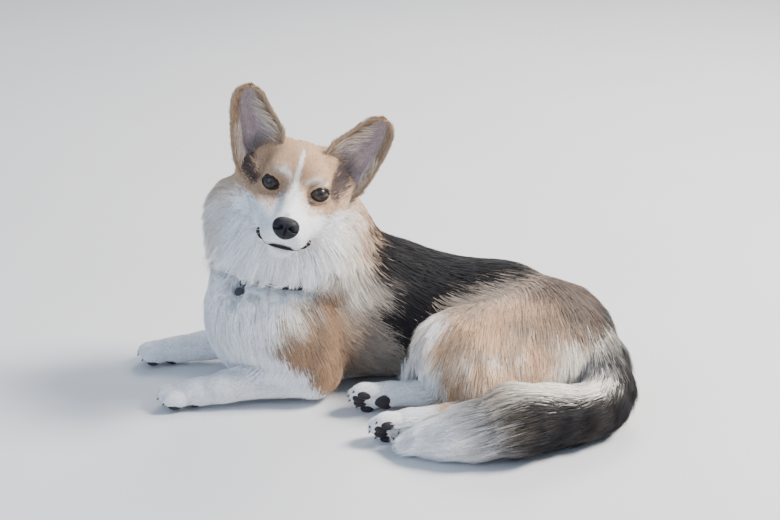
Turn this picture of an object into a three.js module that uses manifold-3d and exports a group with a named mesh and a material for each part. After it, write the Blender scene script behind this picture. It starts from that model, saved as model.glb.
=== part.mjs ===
// A life-size Pembroke Welsh corgi at rest: it lies on its breast and its right hip, both forelegs stretched
// forward, both hind feet out to its left, the tail laid round on the floor, the head raised and turned left.
// Each sub-part is wrapped over a few rounded forms, which are muscles and bones with their coat. Long hair
// is built as tapered locks. X runs from the head end to the tail end, Y away from the dog's left side, and
// Z up from the floor. Sizes are in millimetres.
import * as THREE from 'three';
import { mergeVertices } from 'three/addons/utils/BufferGeometryUtils.js';
import Module from 'manifold-3d';

const wasm = await Module();
wasm.setup();

// Driving dimensions, in millimetres and degrees
const gap = 0.3; // left between two sub-parts that touch
const coat = { face: 3, cheek: 10, leg: 5, arm: 12, body: 13, ruff: 23, nape: 14, thigh: 14, paw: 1.5 };
const chestTurn = 17; // the chest points this far to the dog's left
const pelvisRoll = 55; // the pelvis lies over on the right hip, so the belly and soles face left
const headRoll = 14; // the head tilts to its left
const headPitch = 17; // the head bows this far from the line of sight
const sight = new THREE.Vector3(0.059, -0.952, 0.299).normalize(); // where the face looks, before the pitch
const eyeApart = 54;
const eyeRadius = 11.5;
const lidThickness = 2.4;
const muzzleLength = 76; // from the eyes' line to the nose's front
const earThickness = 4;
const collarWidth = 15;
const collarTilt = 0.25; // how much the collar climbs towards the nape

// Points and turned frames
const v = (x, y, z) => new THREE.Vector3(x, y, z);
const radians = THREE.MathUtils.degToRad;

// A frame is a point with its own forward, left and up directions.
function frame(origin, forward, up) {
  const f = forward.clone().normalize();
  const l = up.clone().cross(f).normalize();
  const u = f.clone().cross(l);
  const at = (a, b, c) => origin.clone().addScaledVector(f, a).addScaledVector(l, b).addScaledVector(u, c);
  return { origin, f, l, u, at };
}

const floorUp = v(0, 0, 1);
const rolledUp = v(0, Math.sin(radians(pelvisRoll)), Math.cos(radians(pelvisRoll)));
const chestForward = v(-Math.cos(radians(chestTurn)), -Math.sin(radians(chestTurn)), 0);
const chest = frame(v(-72, -66, 0), chestForward, floorUp);

const picturedUp = v(0, sight.z, -sight.y).normalize()
  .multiplyScalar(Math.cos(radians(headRoll)))
  .add(v(Math.sin(radians(headRoll)), 0, 0));
const head = frame(
  v(-107, -150, 271), // midway between the eyes
  sight.clone().multiplyScalar(Math.cos(radians(headPitch)))
    .addScaledVector(picturedUp, -Math.sin(radians(headPitch))),
  picturedUp,
);

// Forms. Each gives how far a point lies outside it. A limb is a rounded rod that tapers from radius ra at
// a to rb at b, and an egg is an ellipsoid turned to a frame.
function limb(a, b, ra, rb, fur = 0) {
  const along = b.clone().sub(a);
  const squared = along.lengthSq();
  const local = v(0, 0, 0);
  return (p) => {
    local.copy(p).sub(a);
    const t = THREE.MathUtils.clamp(local.dot(along) / squared, 0, 1);
    return local.addScaledVector(along, -t).length() - (ra + (rb - ra) * t) - fur;
  };
}

function egg(centre, radii, turned, fur = 0) {
  const local = v(0, 0, 0);
  return (p) => {
    local.copy(p).sub(centre);
    const a = local.dot(turned.f) / radii[0];
    const b = local.dot(turned.l) / radii[1];
    const c = local.dot(turned.u) / radii[2];
    const inner = Math.hypot(a, b, c);
    const slope = Math.hypot(a / radii[0], b / radii[1], c / radii[2]);
    return (inner * (inner - 1)) / Math.max(slope, 1e-6) - fur;
  };
}

// Forms run into each other softly over the width k, and hollows are pressed into them.
function blended({ forms, hollows = [], k = 20 }) {
  return (p) => {
    let d = Infinity;
    for (const form of forms) {
      const e = form(p);
      const h = Math.max(k - Math.abs(d - e), 0) / k;
      d = Math.min(d, e) - (d === Infinity ? 0 : h * h * k * 0.25);
    }
    for (const hollow of hollows) {
      const e = -hollow(p);
      const h = Math.max(10 - Math.abs(d - e), 0) / 10;
      d = Math.max(d, e) + h * h * 2.5;
    }
    return d;
  };
}

// How far out along a ray the surface lies, grown by some millimetres
function reachOf(field, origin, ray, grow = 0, limit = 170) {
  const p = v(0, 0, 0);
  let far = limit;
  for (let step = 0; step < 80; step += 1) {
    const d = field(p.copy(origin).addScaledVector(ray, far)) - grow;
    if (Math.abs(d) < 0.005 || far < 0.5) break;
    far = Math.max(far - d * 0.9, 0.4);
  }
  return far;
}

// The way straight out of a field's surface at a point
function slopeOf(field, p) {
  const [a, b, c, d] = [v(0, 0, 0), v(0.5, 0, 0), v(0, 0.5, 0), v(0, 0, 0.5)].map((step) => field(step.add(p)));
  return v(b - a, c - a, d - a).normalize();
}

const curveOf = (points) => new THREE.CatmullRomCurve3(points, false, 'centripetal');

// A ray out of a curve: an angle round it and a lean towards one end, for the round caps
function rayOf(curve, up, along, angle, lean) {
  const origin = curve.getPointAt(along);
  const tangent = curve.getTangentAt(along);
  const side = v(0, 0, 0).crossVectors(up, tangent).normalize();
  const over = v(0, 0, 0).crossVectors(tangent, side);
  const ray = side.multiplyScalar(Math.cos(angle) * Math.cos(lean))
    .addScaledVector(over, Math.sin(angle) * Math.cos(lean))
    .addScaledVector(tangent, Math.sin(lean));
  return { origin, ray, tangent };
}

// A sphere's grid is drawn over the forms: its middle rows follow a curve, and its ends are caps, which are
// round, or flat where the cap has no rows.
function wrap(shape, grow = 0) {
  const { curve, span = [0, 1], up = floorUp, around = 20, rows = 14, caps = [4, 4], leans = [0, 0] } = shape;
  const field = blended(shape);
  const [first, last] = caps.map((n) => Math.max(n, 1));
  const rowCount = first + rows + last;
  const grid = new THREE.SphereGeometry(1, around, rowCount);
  const position = grid.getAttribute('position');
  for (let i = 0; i < position.count; i += 1) {
    const row = Math.floor(i / (around + 1));
    const middle = THREE.MathUtils.clamp((row - first) / rows, 0, 1);
    const past = Math.max((first - row) / first, (row - first - rows) / last, 0);
    const angle = past === 1 ? 0 : (((i % (around + 1)) % around) / around) * Math.PI * 2;
    const end = middle < 0.5 ? 0 : 1;
    const flat = caps[end] === 0;
    let lean = radians(leans[0]) * (1 - middle) + radians(leans[1]) * middle;
    if (past > 0 && !flat) lean += past * ((end - 0.5) * Math.PI - lean);
    const { origin, ray, tangent } = rayOf(curve, up, span[0] + (span[1] - span[0]) * middle, angle, lean);
    const parted = flat && (middle === 0 || middle === 1);
    if (parted) origin.addScaledVector(tangent, (1 - 2 * end) * (gap / 2 - grow));
    const p = origin.clone();
    if (!flat || past === 0) p.addScaledVector(ray, reachOf(field, origin, ray, grow, shape.limit));
    position.setXYZ(i, p.x, p.y, p.z);
  }
  return grid;
}

// Closed meshes to solids and back
function solid(geometry) {
  const bare = geometry.clone();
  bare.deleteAttribute('normal');
  bare.deleteAttribute('uv');
  const merged = mergeVertices(bare, 1e-3);
  const vertProperties = new Float32Array(merged.getAttribute('position').array);
  const corners = Array.from(merged.index.array);
  const made = [];
  for (let i = 0; i < corners.length; i += 3) {
    const [a, b, c] = corners.slice(i, i + 3);
    if (a !== b && b !== c && a !== c) made.push(a, b, c);
  }
  const closed = () => {
    const triVerts = new Uint32Array(made);
    return new wasm.Manifold(new wasm.Mesh({ numProp: 3, vertProperties, triVerts }));
  };
  const first = closed();
  if (first.volume() > 0) return first;
  for (let i = 0; i < made.length; i += 3) [made[i], made[i + 1]] = [made[i + 1], made[i]];
  return closed();
}

const joined = (...solids) => solids.flat().reduce((a, b) => a.add(b));
const cleared = (made, ...others) => others.flat().reduce((a, b) => a.subtract(b), made);

function largest(made) {
  const pieces = made.decompose().filter((piece) => piece.volume() > 0);
  return pieces.sort((a, b) => b.volume() - a.volume())[0];
}

function geometryOf(made) {
  const mesh = made.getMesh();
  return new THREE.BufferGeometry()
    .setAttribute('position', new THREE.BufferAttribute(new Float32Array(mesh.vertProperties), 3))
    .setIndex(new THREE.BufferAttribute(new Uint32Array(mesh.triVerts), 1));
}

// A round ball turned and scaled to a frame, as an egg form is
function ball(centre, radii, turned, around = 10, rows = 8) {
  const matrix = new THREE.Matrix4().makeBasis(
    turned.f.clone().multiplyScalar(radii[0]),
    turned.l.clone().multiplyScalar(radii[1]),
    turned.u.clone().multiplyScalar(radii[2]),
  ).setPosition(centre);
  return new THREE.SphereGeometry(1, around, rows).applyMatrix4(matrix);
}

// A lock is a flat, tapered strand of long coat. Its spine starts under the core's surface, runs along the
// lie and rises to the coat's outline at its tip.
function lock(outline, start, lie, { length, width, thick, rise, grow }) {
  const rings = 3;
  const root = outline(start);
  const points = [];
  const index = [0, 2, 1];
  const p = start.clone();
  for (let i = 0; i <= rings; i += 1) {
    const s = i / rings;
    if (i > 0) p.addScaledVector(lie, length / rings);
    p.addScaledVector(slopeOf(outline, p), root + (rise - root) * Math.sin((s * Math.PI) / 2) - outline(p));
    const out = slopeOf(outline, p);
    const along = lie.clone().addScaledVector(out, -lie.dot(out)).normalize();
    const side = along.clone().cross(out);
    if (i === rings) {
      points.push(p.clone().addScaledVector(along, grow * 5));
      break;
    }
    const half = (width / 2) * (0.7 + s) * Math.sqrt(1 - s ** 2);
    const high = (thick / 2) * (1 - 0.5 * s);
    const slant = Math.hypot(2 * high, half);
    const [edge, under] = [half + (grow * (half + slant)) / (2 * high), -high - grow];
    for (const [aside, above] of [[edge, under], [0, high + (grow * slant) / half], [-edge, under]]) {
      points.push(p.clone().addScaledVector(side, aside).addScaledVector(out, above));
    }
    for (let j = 0; j < 3; j += 1) {
      const [a, b] = [i * 3 + j, i * 3 + ((j + 1) % 3)];
      if (i < rings - 1) index.push(a, b, a + 3, b, b + 3, a + 3);
      else index.push(a, b, rings * 3);
    }
  }
  return solid(new THREE.BufferGeometry().setFromPoints(points).setIndex(index));
}

// Rows of locks on a core, between two places along a curve and two turns round it
const between = ([first, last], share) => first + share * (last - first);
function locks({ outline, core, limit }, brush, grow) {
  THREE.MathUtils.seededRandom(brush.seed);
  const shake = (size) => (THREE.MathUtils.seededRandom() - 0.5) * size;
  const made = [];
  for (let row = 0; row < brush.rows; row += 1) {
    for (let i = 0; i < brush.each; i += 1) {
      const along = between(brush.along, (row + 0.5 + shake(0.4)) / brush.rows);
      const turn = between(brush.turn, (i + 0.3 + (row % 2) * 0.4 + shake(0.4)) / brush.each);
      const { origin, ray } = rayOf(brush.curve, brush.up ?? floorUp, along, radians(turn), 0);
      const start = origin.clone().addScaledVector(ray, reachOf(core, origin, ray, -5, limit));
      const lie = brush.lie(along, ray).add(v(shake(0.3), shake(0.3), shake(0.3))).normalize();
      const [length, rise] = [brush.length * (1 + shake(0.4)), brush.rise + shake(3)];
      made.push(lock(outline, start, lie, { ...brush, length, rise, grow }));
    }
  }
  return made;
}

const floorBox = solid(new THREE.BoxGeometry(2000, 2000, 200).translate(0, 0, -100));

// Trunk and neck. Where the coat is long, a core of half its height carries the locks.
const torso = (share = 1) => ({
  forms: [
    egg(chest.at(0, 0, 88), [128, 57, 78], chest, coat.body * share),
    egg(chest.at(80, 0, 86), [50, 52, 64], chest, coat.body * share),
    limb(chest.at(18, 0, 128), v(-10, -54, 126), 36, 36, coat.body),
    limb(v(10, -50, 76), v(110, -60, 70), 62, 56, coat.body),
    limb(v(0, -46, 104), v(140, -58, 86), 46, 44, coat.body),
    limb(v(140, -62, 74), v(208, -78, 66), 52, 45, coat.body),
    limb(v(208, -78, 70), v(230, -92, 64), 38, 28, coat.body),
  ],
  curve: curveOf([v(-165, -94, 90), v(-70, -66, 92), v(40, -46, 86), v(140, -62, 76), v(222, -82, 66)]),
  k: 30, around: 20, rows: 11, caps: [3, 3],
});

const neck = (share = 1) => ({
  forms: [
    limb(v(-98, -76, 146), v(-114, -86, 214), 48, 44, coat.ruff * share),
    egg(head.at(-56, -9, -52), [32, 72, 42], head, coat.ruff * share),
    egg(v(-118, -108, 192), [44, 56, 32], frame(v(0, 0, 0), v(0, -1, 0), floorUp), coat.ruff * share),
    limb(v(-58, -56, 148), head.at(-70, -4, -18), 42, 32, coat.nape * share),
  ],
  curve: curveOf([v(-98, -76, 150), v(-108, -90, 230)]),
  up: v(1, 0, 0), k: 34, around: 20, rows: 4, caps: [3, 3],
});

// Head
const skullSide = (side) => [
  limb(head.at(-30, side * 34, -22), head.at(18, side * 19, -34), 22, 16, coat.face),
  egg(head.at(-16, side * 36, -14), [22, 13, 13], head, coat.face),
  egg(head.at(-46, side * 38, -20), [28, 26, 34], head, coat.cheek),
  egg(head.at(-5, side * 20, 14), [11, 13, 6], head, coat.face),
  limb(head.at(20, side * 17, -37), head.at(58, side * 8.5, -34), 14, 10, coat.face),
  egg(head.at(44, side * 13, -45), [17, 9, 10], head, coat.face),
];
const socket = (turned) => egg(turned.at(17, 0, 0), [13, 19, 15], turned);
const eyeFrames = [1, -1].map((side) => {
  const centre = head.at(-4, (side * eyeApart) / 2, 0);
  const looking = head.f.clone().addScaledVector(head.l, side * 0.27).addScaledVector(head.u, 0.05);
  return frame(centre, looking, head.u.clone().addScaledVector(head.l, -side * 0.16));
});
const skull = {
  forms: [
    egg(head.at(-42, 0, 6), [46, 44, 34], head, coat.face + 1),
    egg(head.at(-15, 0, 12), [19, 32, 20], head, coat.face),
    limb(head.at(2, 0, -12), head.at(62, 0, -25), 16, 9.5, coat.face),
    limb(head.at(-20, 0, -50), head.at(51, 0, -52), 20, 6, coat.face),
    ...skullSide(1),
    ...skullSide(-1),
  ],
  hollows: eyeFrames.map(socket),
  curve: curveOf([head.at(-66, 0, -8), head.at(-20, 0, -14), head.at(54, 0, -36)]),
  up: head.u, k: 13, around: 28, rows: 15, caps: [2, 5], leans: [-20, 25],
};

const eyeBall = (turned, grow = 0) => {
  const r = eyeRadius + grow;
  return solid(ball(turned.origin, [r, r, r], turned, 12, 8));
};

// The slit between the lids is a lens of two arcs, cut along the eye's own line of sight.
function slit(turned) {
  const half = 11.5;
  const rise = 8;
  const arc = (half * half + rise * rise) / (2 * rise);
  const span = Math.asin(half / arc);
  const lens = new THREE.Shape()
    .absarc(0, rise - arc, arc, Math.PI / 2 - span, Math.PI / 2 + span, false)
    .absarc(0, arc - rise, arc, -Math.PI / 2 - span, -Math.PI / 2 + span, false);
  const cut = new THREE.ExtrudeGeometry(lens, { depth: 30, bevelEnabled: false, curveSegments: 4 });
  const matrix = new THREE.Matrix4().makeBasis(turned.l, turned.u, turned.f).setPosition(turned.at(3, 0, 0));
  return solid(cut.applyMatrix4(matrix));
}

const noseFrame = frame(head.at(muzzleLength - 8, 0, -25), head.f.clone().addScaledVector(head.u, 0.2), head.u);
const nosePad = {
  forms: [
    egg(noseFrame.at(0, 0, 3), [9, 13, 8], noseFrame),
    egg(noseFrame.at(0, 6.5, -1), [8, 8, 8], noseFrame),
    egg(noseFrame.at(0, -6.5, -1), [8, 8, 8], noseFrame),
    egg(noseFrame.at(-1, 0, -6.5), [8, 7.5, 6], noseFrame),
  ],
  curve: curveOf([noseFrame.at(-4, 0, 0), noseFrame.at(2, 0, 0)]),
  up: noseFrame.u, k: 6, around: 12, rows: 2, caps: [2, 3],
};

// The mouth is a thin cut along the lips, as deep as the coat and the lip.
function mouthCut() {
  const side = [[82, -46], [68, -48], [58, -52], [46, -56], [34, -55], [22, -51]];
  const line = curveOf(side.map(([f, u]) => v(f, u, 0))).getPoints(6);
  const outline = new THREE.Shape([
    ...line.map((p, i) => new THREE.Vector2(p.x, p.y + 1.6 - i * 0.15)),
    ...line.reverse().map((p, i) => new THREE.Vector2(p.x, p.y - 0.4 - i * 0.15)),
  ]);
  const sheet = new THREE.ExtrudeGeometry(outline, { depth: 90, bevelEnabled: false });
  const across = new THREE.Matrix4().makeBasis(head.f, head.u, head.l.clone().negate());
  sheet.applyMatrix4(across.setPosition(head.at(0, 45, 0)));
  return solid(sheet).subtract(solid(wrap(skull, -5)));
}

function headSolid() {
  const lids = eyeFrames.map((turned) => {
    const r = eyeRadius + gap + lidThickness;
    return solid(ball(turned.origin, [r, r, r], turned, 12, 8));
  });
  return cleared(
    joined(solid(wrap(skull)), lids),
    eyeFrames.map((turned) => [eyeBall(turned, gap), slit(turned)]).flat(),
    solid(wrap(nosePad, gap)),
    mouthCut(),
  );
}

const nostrils = [1, -1].flatMap((side) => [
  solid(ball(noseFrame.at(9, side * 5.8, 0), [5, 3, 2.8], noseFrame, 6, 4)),
  solid(ball(noseFrame.at(6, side * 10.5, -2.5), [5, 4.4, 1.3], noseFrame, 6, 4)),
]);

// An ear is a leaf: rows run from the base to the tip between an inner and an outer edge, sunk to a cup.
function earSolid(side) {
  const inner = curveOf([v(-28, 26, 44), v(-30, 29, 57), v(-36, 45, 74), v(-41, 62, 90.5), v(-43, 76, 97)]);
  const outer = curveOf([
    v(-26, 64, -14), v(-30, 80, 10), v(-35, 89, 40), v(-40, 96, 69),
    v(-42, 95, 83), v(-43, 88, 92), v(-43, 76, 97),
  ]);
  const across = 6;
  const rows = 8;
  const surface = (s, t, back) => {
    const p = inner.getPointAt(t).lerp(outer.getPointAt(t), s);
    const depth = 20 * Math.sin(Math.PI * s) ** 0.8 * (1 - t) ** 0.45 + back;
    return head.at(p.x - depth, side * p.y, p.z);
  };
  const ring = [];
  for (let i = 0; i <= across; i += 1) ring.push([i / across, 0]);
  for (let i = across; i >= 0; i -= 1) ring.push([i / across, earThickness]);
  const around = ring.length;
  const points = [];
  const index = [];
  for (let j = 0; j <= rows; j += 1) {
    const t = (1 - (1 - j / rows) ** 1.6) * 0.985;
    for (const [s, back] of ring) points.push(surface(s, t, back));
    for (let i = 0; i < around && j < rows; i += 1) {
      const next = (i + 1) % around;
      const [a, b] = [j * around + i, j * around + next];
      index.push(a, b, b + around, a, b + around, a + around);
    }
  }
  for (let i = 0; i < across; i += 1) {
    const [b, t] = [around - 1 - i, rows * around];
    index.push(i, b, b - 1, i, b - 1, i + 1, t + i, t + b - 1, t + b, t + i, t + i + 1, t + b - 1);
  }
  return solid(new THREE.BufferGeometry().setFromPoints(points).setIndex(index));
}

// Legs
const foreLeg = (side) => ({
  shoulder: chest.at(52, side * 38, 84),
  elbow: chest.at(38, side * 56, 38),
  wrist: side > 0 ? v(-196, -150, 24) : v(-236, -24, 24),
  ball: side > 0 ? v(-226, -152, 19) : v(-268, -25, 19),
  pawForward: side > 0 ? v(-1, -0.06, 0) : v(-1, 0.02, 0),
});
const upperArm = ({ shoulder, elbow }) => ({
  forms: [egg(shoulder, [46, 34, 46], chest, coat.arm), limb(shoulder, elbow, 34, 25, coat.arm)],
  curve: curveOf([shoulder, elbow]), up: chestForward, k: 20, around: 12, rows: 3, caps: [3, 3],
});
const hindLeg = {
  left: {
    hip: v(180, -96, 88), knee: v(74, -156, 78), hock: v(114, -222, 28), ball: v(24, -240, 23),
    pawForward: v(-1, -0.14, -0.05),
  },
  right: {
    hip: v(186, -50, 36), knee: v(62, -106, 36), hock: v(116, -168, 25), ball: v(0, -168, 24),
    pawForward: v(-1, 0.08, -0.06),
  },
};
const thigh = ({ hip, knee, hock }) => (share = 1) => ({
  forms: [
    limb(hip, knee, 42, 30, coat.thigh),
    limb(hip.clone().add(v(20, -20, -24)), hock.clone().add(v(10, 14, 14)), 36, 20, coat.thigh * share),
    limb(knee, knee.clone().lerp(hock, 0.85), 29, 16, coat.thigh * share),
  ],
  curve: curveOf([hip, knee]), k: 36, around: 14, rows: 5, caps: [3, 2],
});

// The forearm and the forepaw share one curve, which is parted by a flat gap at the wrist.
const pawForms = (joint, turned, radii) => [
  limb(joint, turned.origin, radii[0], radii[1], coat.leg),
  limb(turned.origin, turned.at(16, 0, 0), radii[1], radii[1] - 1, coat.paw),
];
function forearmAndFoot({ elbow, wrist }, turned) {
  const points = [elbow, wrist, turned.origin, turned.at(16, 0, 0)];
  const lengths = points.slice(1).map((point, i) => point.distanceTo(points[i]));
  const parting = lengths[0] / (lengths[0] + lengths[1] + lengths[2]);
  const forms = [limb(elbow, wrist, 27, 15, coat.leg), ...pawForms(wrist, turned, [15, 14])];
  const shape = { forms, curve: curveOf(points), up: turned.u, k: 8, around: 12, limit: 60, rows: 4 };
  return [{ ...shape, span: [0, parting], caps: [2, 0] }, { ...shape, span: [parting, 1], caps: [0, 2] }];
}

// The hock is bent, so the shank is a limb of its own and meets the hind foot's round heel.
const shank = ({ knee, hock }) => ({
  forms: [limb(knee, hock, 20, 13, coat.leg)],
  curve: curveOf([knee, hock]), up: v(0, 1, 0), k: 8, around: 12, rows: 3, caps: [2, 2],
});
const hindFoot = ({ hock }, turned) => ({
  forms: pawForms(hock, turned, [14, 14]),
  curve: curveOf([hock, turned.origin, turned.at(16, 0, 0)]),
  up: turned.u, k: 8, around: 12, rows: 5, caps: [2, 2], limit: 60,
});

// A paw: the middle foot, four toes with claws, four toe pads and a main pad
function pawSolid(foot, turned, grow = 0) {
  const g = (radii) => radii.map((r) => r + grow);
  const pieces = [solid(wrap(foot, grow))];
  for (const place of [-1.5, -0.5, 0.5, 1.5]) {
    const middle = Math.abs(place) < 1;
    const toe = frame(
      turned.at(middle ? 32 : 25, place * 9.6, middle ? -1 : -3),
      turned.f.clone().addScaledVector(turned.l, place * 0.12),
      turned.u,
    );
    pieces.push(solid(ball(toe.origin, g([18, 8.4, 10.8]), toe, 6, 4)));
    pieces.push(solid(ball(toe.at(2, 0, -8), g([9, 5.5, 5]), toe, 5, 3)));
    const claw = new THREE.ConeGeometry(2.8 + grow, 13 + grow * 4, 3, 1);
    const point = toe.f.clone().addScaledVector(toe.u, -0.45).normalize();
    claw.applyQuaternion(new THREE.Quaternion().setFromUnitVectors(v(0, 1, 0), point));
    const tip = toe.at(17, 0, -1);
    pieces.push(solid(claw.translate(tip.x, tip.y, tip.z)));
  }
  pieces.push(solid(ball(turned.at(8, 0, -11), g([11, 12, 6.5]), turned, 6, 3)));
  return joined(pieces);
}

// Tail
const tailPath = [
  v(206, -66, 84), v(238, -104, 75), v(251, -150, 59), v(253, -190, 42), v(244, -218, 35), v(222, -238, 33),
  v(190, -252, 36), v(146, -275, 41), v(101, -286, 34), v(67, -286, 27), v(34, -277, 18), v(12, -275, 10),
];
const tailRadii = [22, 29, 30, 31, 31, 32, 36, 42, 35, 28, 18, 8];
const tailCurve = curveOf(tailPath);
const tail = (span, rows, caps) => (share = 1) => {
  const radii = tailRadii.map((r) => r * (1 + share) * 0.5);
  const forms = tailPath.slice(1).map((point, i) => limb(tailPath[i], point, radii[i], radii[i + 1]));
  return { forms, curve: tailCurve, span, k: 10, around: 12, rows, caps, limit: 58 };
};

// Collar: a band round the foot of the neck, in a groove of the coat
const collarFrame = frame(v(-112, -88, 166), v(0, -1, -collarTilt), v(0, -collarTilt, 1));
const collarField = blended(neck(0.5));
function collarAt(turn, out, up) {
  const ray = collarFrame.f.clone().multiplyScalar(Math.cos(turn))
    .addScaledVector(collarFrame.l, Math.sin(turn));
  const far = reachOf(collarField, collarFrame.origin, ray);
  return collarFrame.origin.clone().addScaledVector(ray, far + out).addScaledVector(collarFrame.u, up);
}
function collarBand(groove = false) {
  const stations = 24;
  const points = [];
  const index = [];
  const [inside, outside, half] = groove ? [-4 - gap, 6, collarWidth / 2 + gap] : [-4, -0.5, collarWidth / 2];
  for (let i = 0; i < stations; i += 1) {
    const turn = (i / stations) * Math.PI * 2;
    points.push(collarAt(turn, inside, -half), collarAt(turn, outside, -half));
    points.push(collarAt(turn, outside, half), collarAt(turn, inside, half));
    for (let j = 0; j < 4; j += 1) {
      const [a, b] = [i * 4 + j, i * 4 + ((j + 1) % 4)];
      const [c, d] = [a, b].map((n) => (n + 4) % (stations * 4));
      index.push(a, c, b, b, c, d);
    }
  }
  return solid(new THREE.BufferGeometry().setFromPoints(points).setIndex(index));
}

// The tag hangs straight down the slope of the chest, a little off the coat: a loop on the collar carries a
// ring, and the ring carries the tag by a bail.
const chestCoat = blended({ forms: [...torso(0.5).forms, ...neck(0.5).forms], k: 24 });
function hanging(length) {
  const top = collarAt(radians(-58), 3, -collarWidth / 2 + 2);
  const p = top.clone();
  let out = slopeOf(chestCoat, p);
  for (let i = 0; i < length; i += 1) {
    p.addScaledVector(v(0, 0, -1).addScaledVector(out, out.z).normalize(), 1);
    out = slopeOf(chestCoat, p);
    p.addScaledVector(out, 5 - chestCoat(p));
  }
  const down = p.sub(top).normalize();
  const flat = out.addScaledVector(down, -out.dot(down)).normalize();
  const at = (distance) => top.clone().addScaledVector(down, distance);
  return { at, down, out: flat, side: down.clone().cross(flat) };
}
const chain = hanging(20);
const hoop = (distance, radius, tube, across, grow = 0) => {
  const { at, out, down, side } = chain;
  const basis = across ? [down, side, out] : [down, out, side.clone().negate()];
  const turned = new THREE.Matrix4().makeBasis(...basis).setPosition(at(distance));
  return solid(new THREE.TorusGeometry(radius, tube + grow, 4, 12).applyMatrix4(turned));
};
function tagSolid(grow = 0) {
  const { at, out, down, side } = chain;
  const disc = new THREE.CylinderGeometry(5.5 + grow, 5.5 + grow, 1.8 + 2 * grow, 16);
  disc.applyMatrix4(new THREE.Matrix4().makeBasis(side, out, down.clone().negate()).setPosition(at(18)));
  return joined(solid(disc), hoop(10.5, 2.4, 0.7, false, grow));
}
const ringSolid = (grow = 0) => hoop(5.6, 4.5, 0.9, true, grow);

// Every sub-part. Each later one is cut clear of the earlier ones that it touches.
const material = (color, roughness) => new THREE.MeshStandardMaterial({ color, roughness });
const colours = {
  tan: material('#c79a6b', 0.9),
  white: material('#e9e6e2', 0.9),
  black: material('#34303a', 0.8),
  skin: material('#1c1a1e', 0.45),
  eye: material('#2a1a12', 0.1),
  metal: new THREE.MeshStandardMaterial({ color: '#77777c', roughness: 0.4, metalness: 1 }),
};
const dog = new THREE.Group();
const placed = [];

function add(name, made, look, grown = made, spared = []) {
  const near = placed.filter((other) => {
    const [a, b] = [made.boundingBox(), other.grown.boundingBox()];
    return !spared.includes(other.name) && [0, 1, 2].every((i) => a.min[i] < b.max[i] && b.min[i] < a.max[i]);
  });
  placed.push({ name, grown });
  const whole = largest(cleared(made, floorBox, near.map((other) => other.grown)));
  const mesh = new THREE.Mesh(geometryOf(largest(solid(geometryOf(whole)))), look);
  mesh.name = name;
  dog.add(mesh);
}

const addWrapped = (name, shape, look, spared) => {
  add(name, solid(wrap(shape)), look, solid(wrap(shape, gap)), spared);
};

function addLocked(name, shapeOf, brushes, look, spared) {
  const [whole, inner] = [shapeOf(1), shapeOf(0.5)];
  const coats = { outline: blended(whole), core: blended(inner), limit: inner.limit };
  const grown = [0, gap].map((grow) => joined(
    solid(wrap(inner, grow)),
    brushes.flatMap((brush) => locks(coats, brush, grow)),
  ));
  add(name, grown[0], look, grown[1], spared);
}

// The long coat, as rows of locks. The ruff falls from the cheeks and the nape, and the bib lies down the
// breast.
const fallen = (flare) => (along, ray) => ray.multiplyScalar(flare).add(v(0, 0, -1));
const ruff = [{
  seed: 3, curve: curveOf([v(-100, -76, 150), v(-112, -96, 258)]), up: v(1, 0, 0),
  along: [0, 1], turn: [0, 360], rows: 3, each: 9, length: 50, width: 36, thick: 9, rise: 3, lie: fallen(0.35),
}];
const bib = [{
  seed: 5, curve: curveOf([chest.at(60, 0, 30), chest.at(60, 0, 140)]), up: chest.l, along: [0.1, 1],
  turn: [-75, 75], rows: 3, each: 3, length: 48, width: 40, thick: 9, rise: 0, lie: fallen(0.2),
}];

// The breeches hang behind the thigh, and a fringe hangs before it on the side that shows.
const breeches = ({ hip, hock }) => [{
  seed: 8, curve: curveOf([hip.clone().add(v(20, -20, -24)), hock.clone().add(v(10, 14, 14))]), along: [0, 0.8],
  turn: [-40, 80], rows: 2, each: 3, length: 56, width: 34, thick: 9, rise: 0, lie: () => v(0.7, -0.5, -0.7),
}];
const fringe = ({ knee, hock }) => [{
  seed: 10, curve: curveOf([knee, hock]), along: [0, 0.7], turn: [120, 240],
  rows: 1, each: 4, length: 46, width: 28, thick: 8, rise: 2, lie: () => v(-0.6, -0.1, -1),
}];

// The tail's brush runs along the tail and a little outwards.
const tailBrush = (along, each, width) => [{
  seed: 12, curve: tailCurve, along, turn: [0, 360], rows: 2, each, length: 54, width, thick: 9, rise: 0,
  lie: (at, ray) => ray.multiplyScalar(0.15).add(tailCurve.getTangentAt(at)),
}];

add('eye_left', eyeBall(eyeFrames[0]), colours.eye);
add('eye_right', eyeBall(eyeFrames[1]), colours.eye);
add('nose', cleared(solid(wrap(nosePad)), nostrils), colours.skin);
add('collar', joined(collarBand(), hoop(0, 3.5, 1.1, false)), colours.skin, collarBand(true));
add('collar_ring', ringSolid(), colours.metal, ringSolid(gap), ['collar']);
add('tag', tagSolid(), colours.metal, tagSolid(gap), ['collar', 'collar_ring']);
addLocked('torso', torso, bib, colours.black);
addLocked('neck', neck, ruff, colours.white);
add('head', headSolid(), colours.tan, solid(wrap(skull, gap)), ['eye_left', 'eye_right', 'nose']);
add('ear_left', earSolid(1), colours.tan);
add('ear_right', earSolid(-1), colours.tan);
for (const [name, side] of [['left', 1], ['right', -1]]) {
  const leg = foreLeg(side);
  const turned = frame(leg.ball, leg.pawForward, floorUp);
  const [forearm, foot] = forearmAndFoot(leg, turned);
  addWrapped(`forearm_${name}`, forearm, colours.white);
  const [paw, pawRoom] = [0, gap].map((grow) => pawSolid(foot, turned, grow));
  add(`forepaw_${name}`, paw, colours.white, pawRoom, [`forearm_${name}`]);
  addWrapped(`upper_arm_${name}`, upperArm(leg), colours.tan);
}
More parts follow.
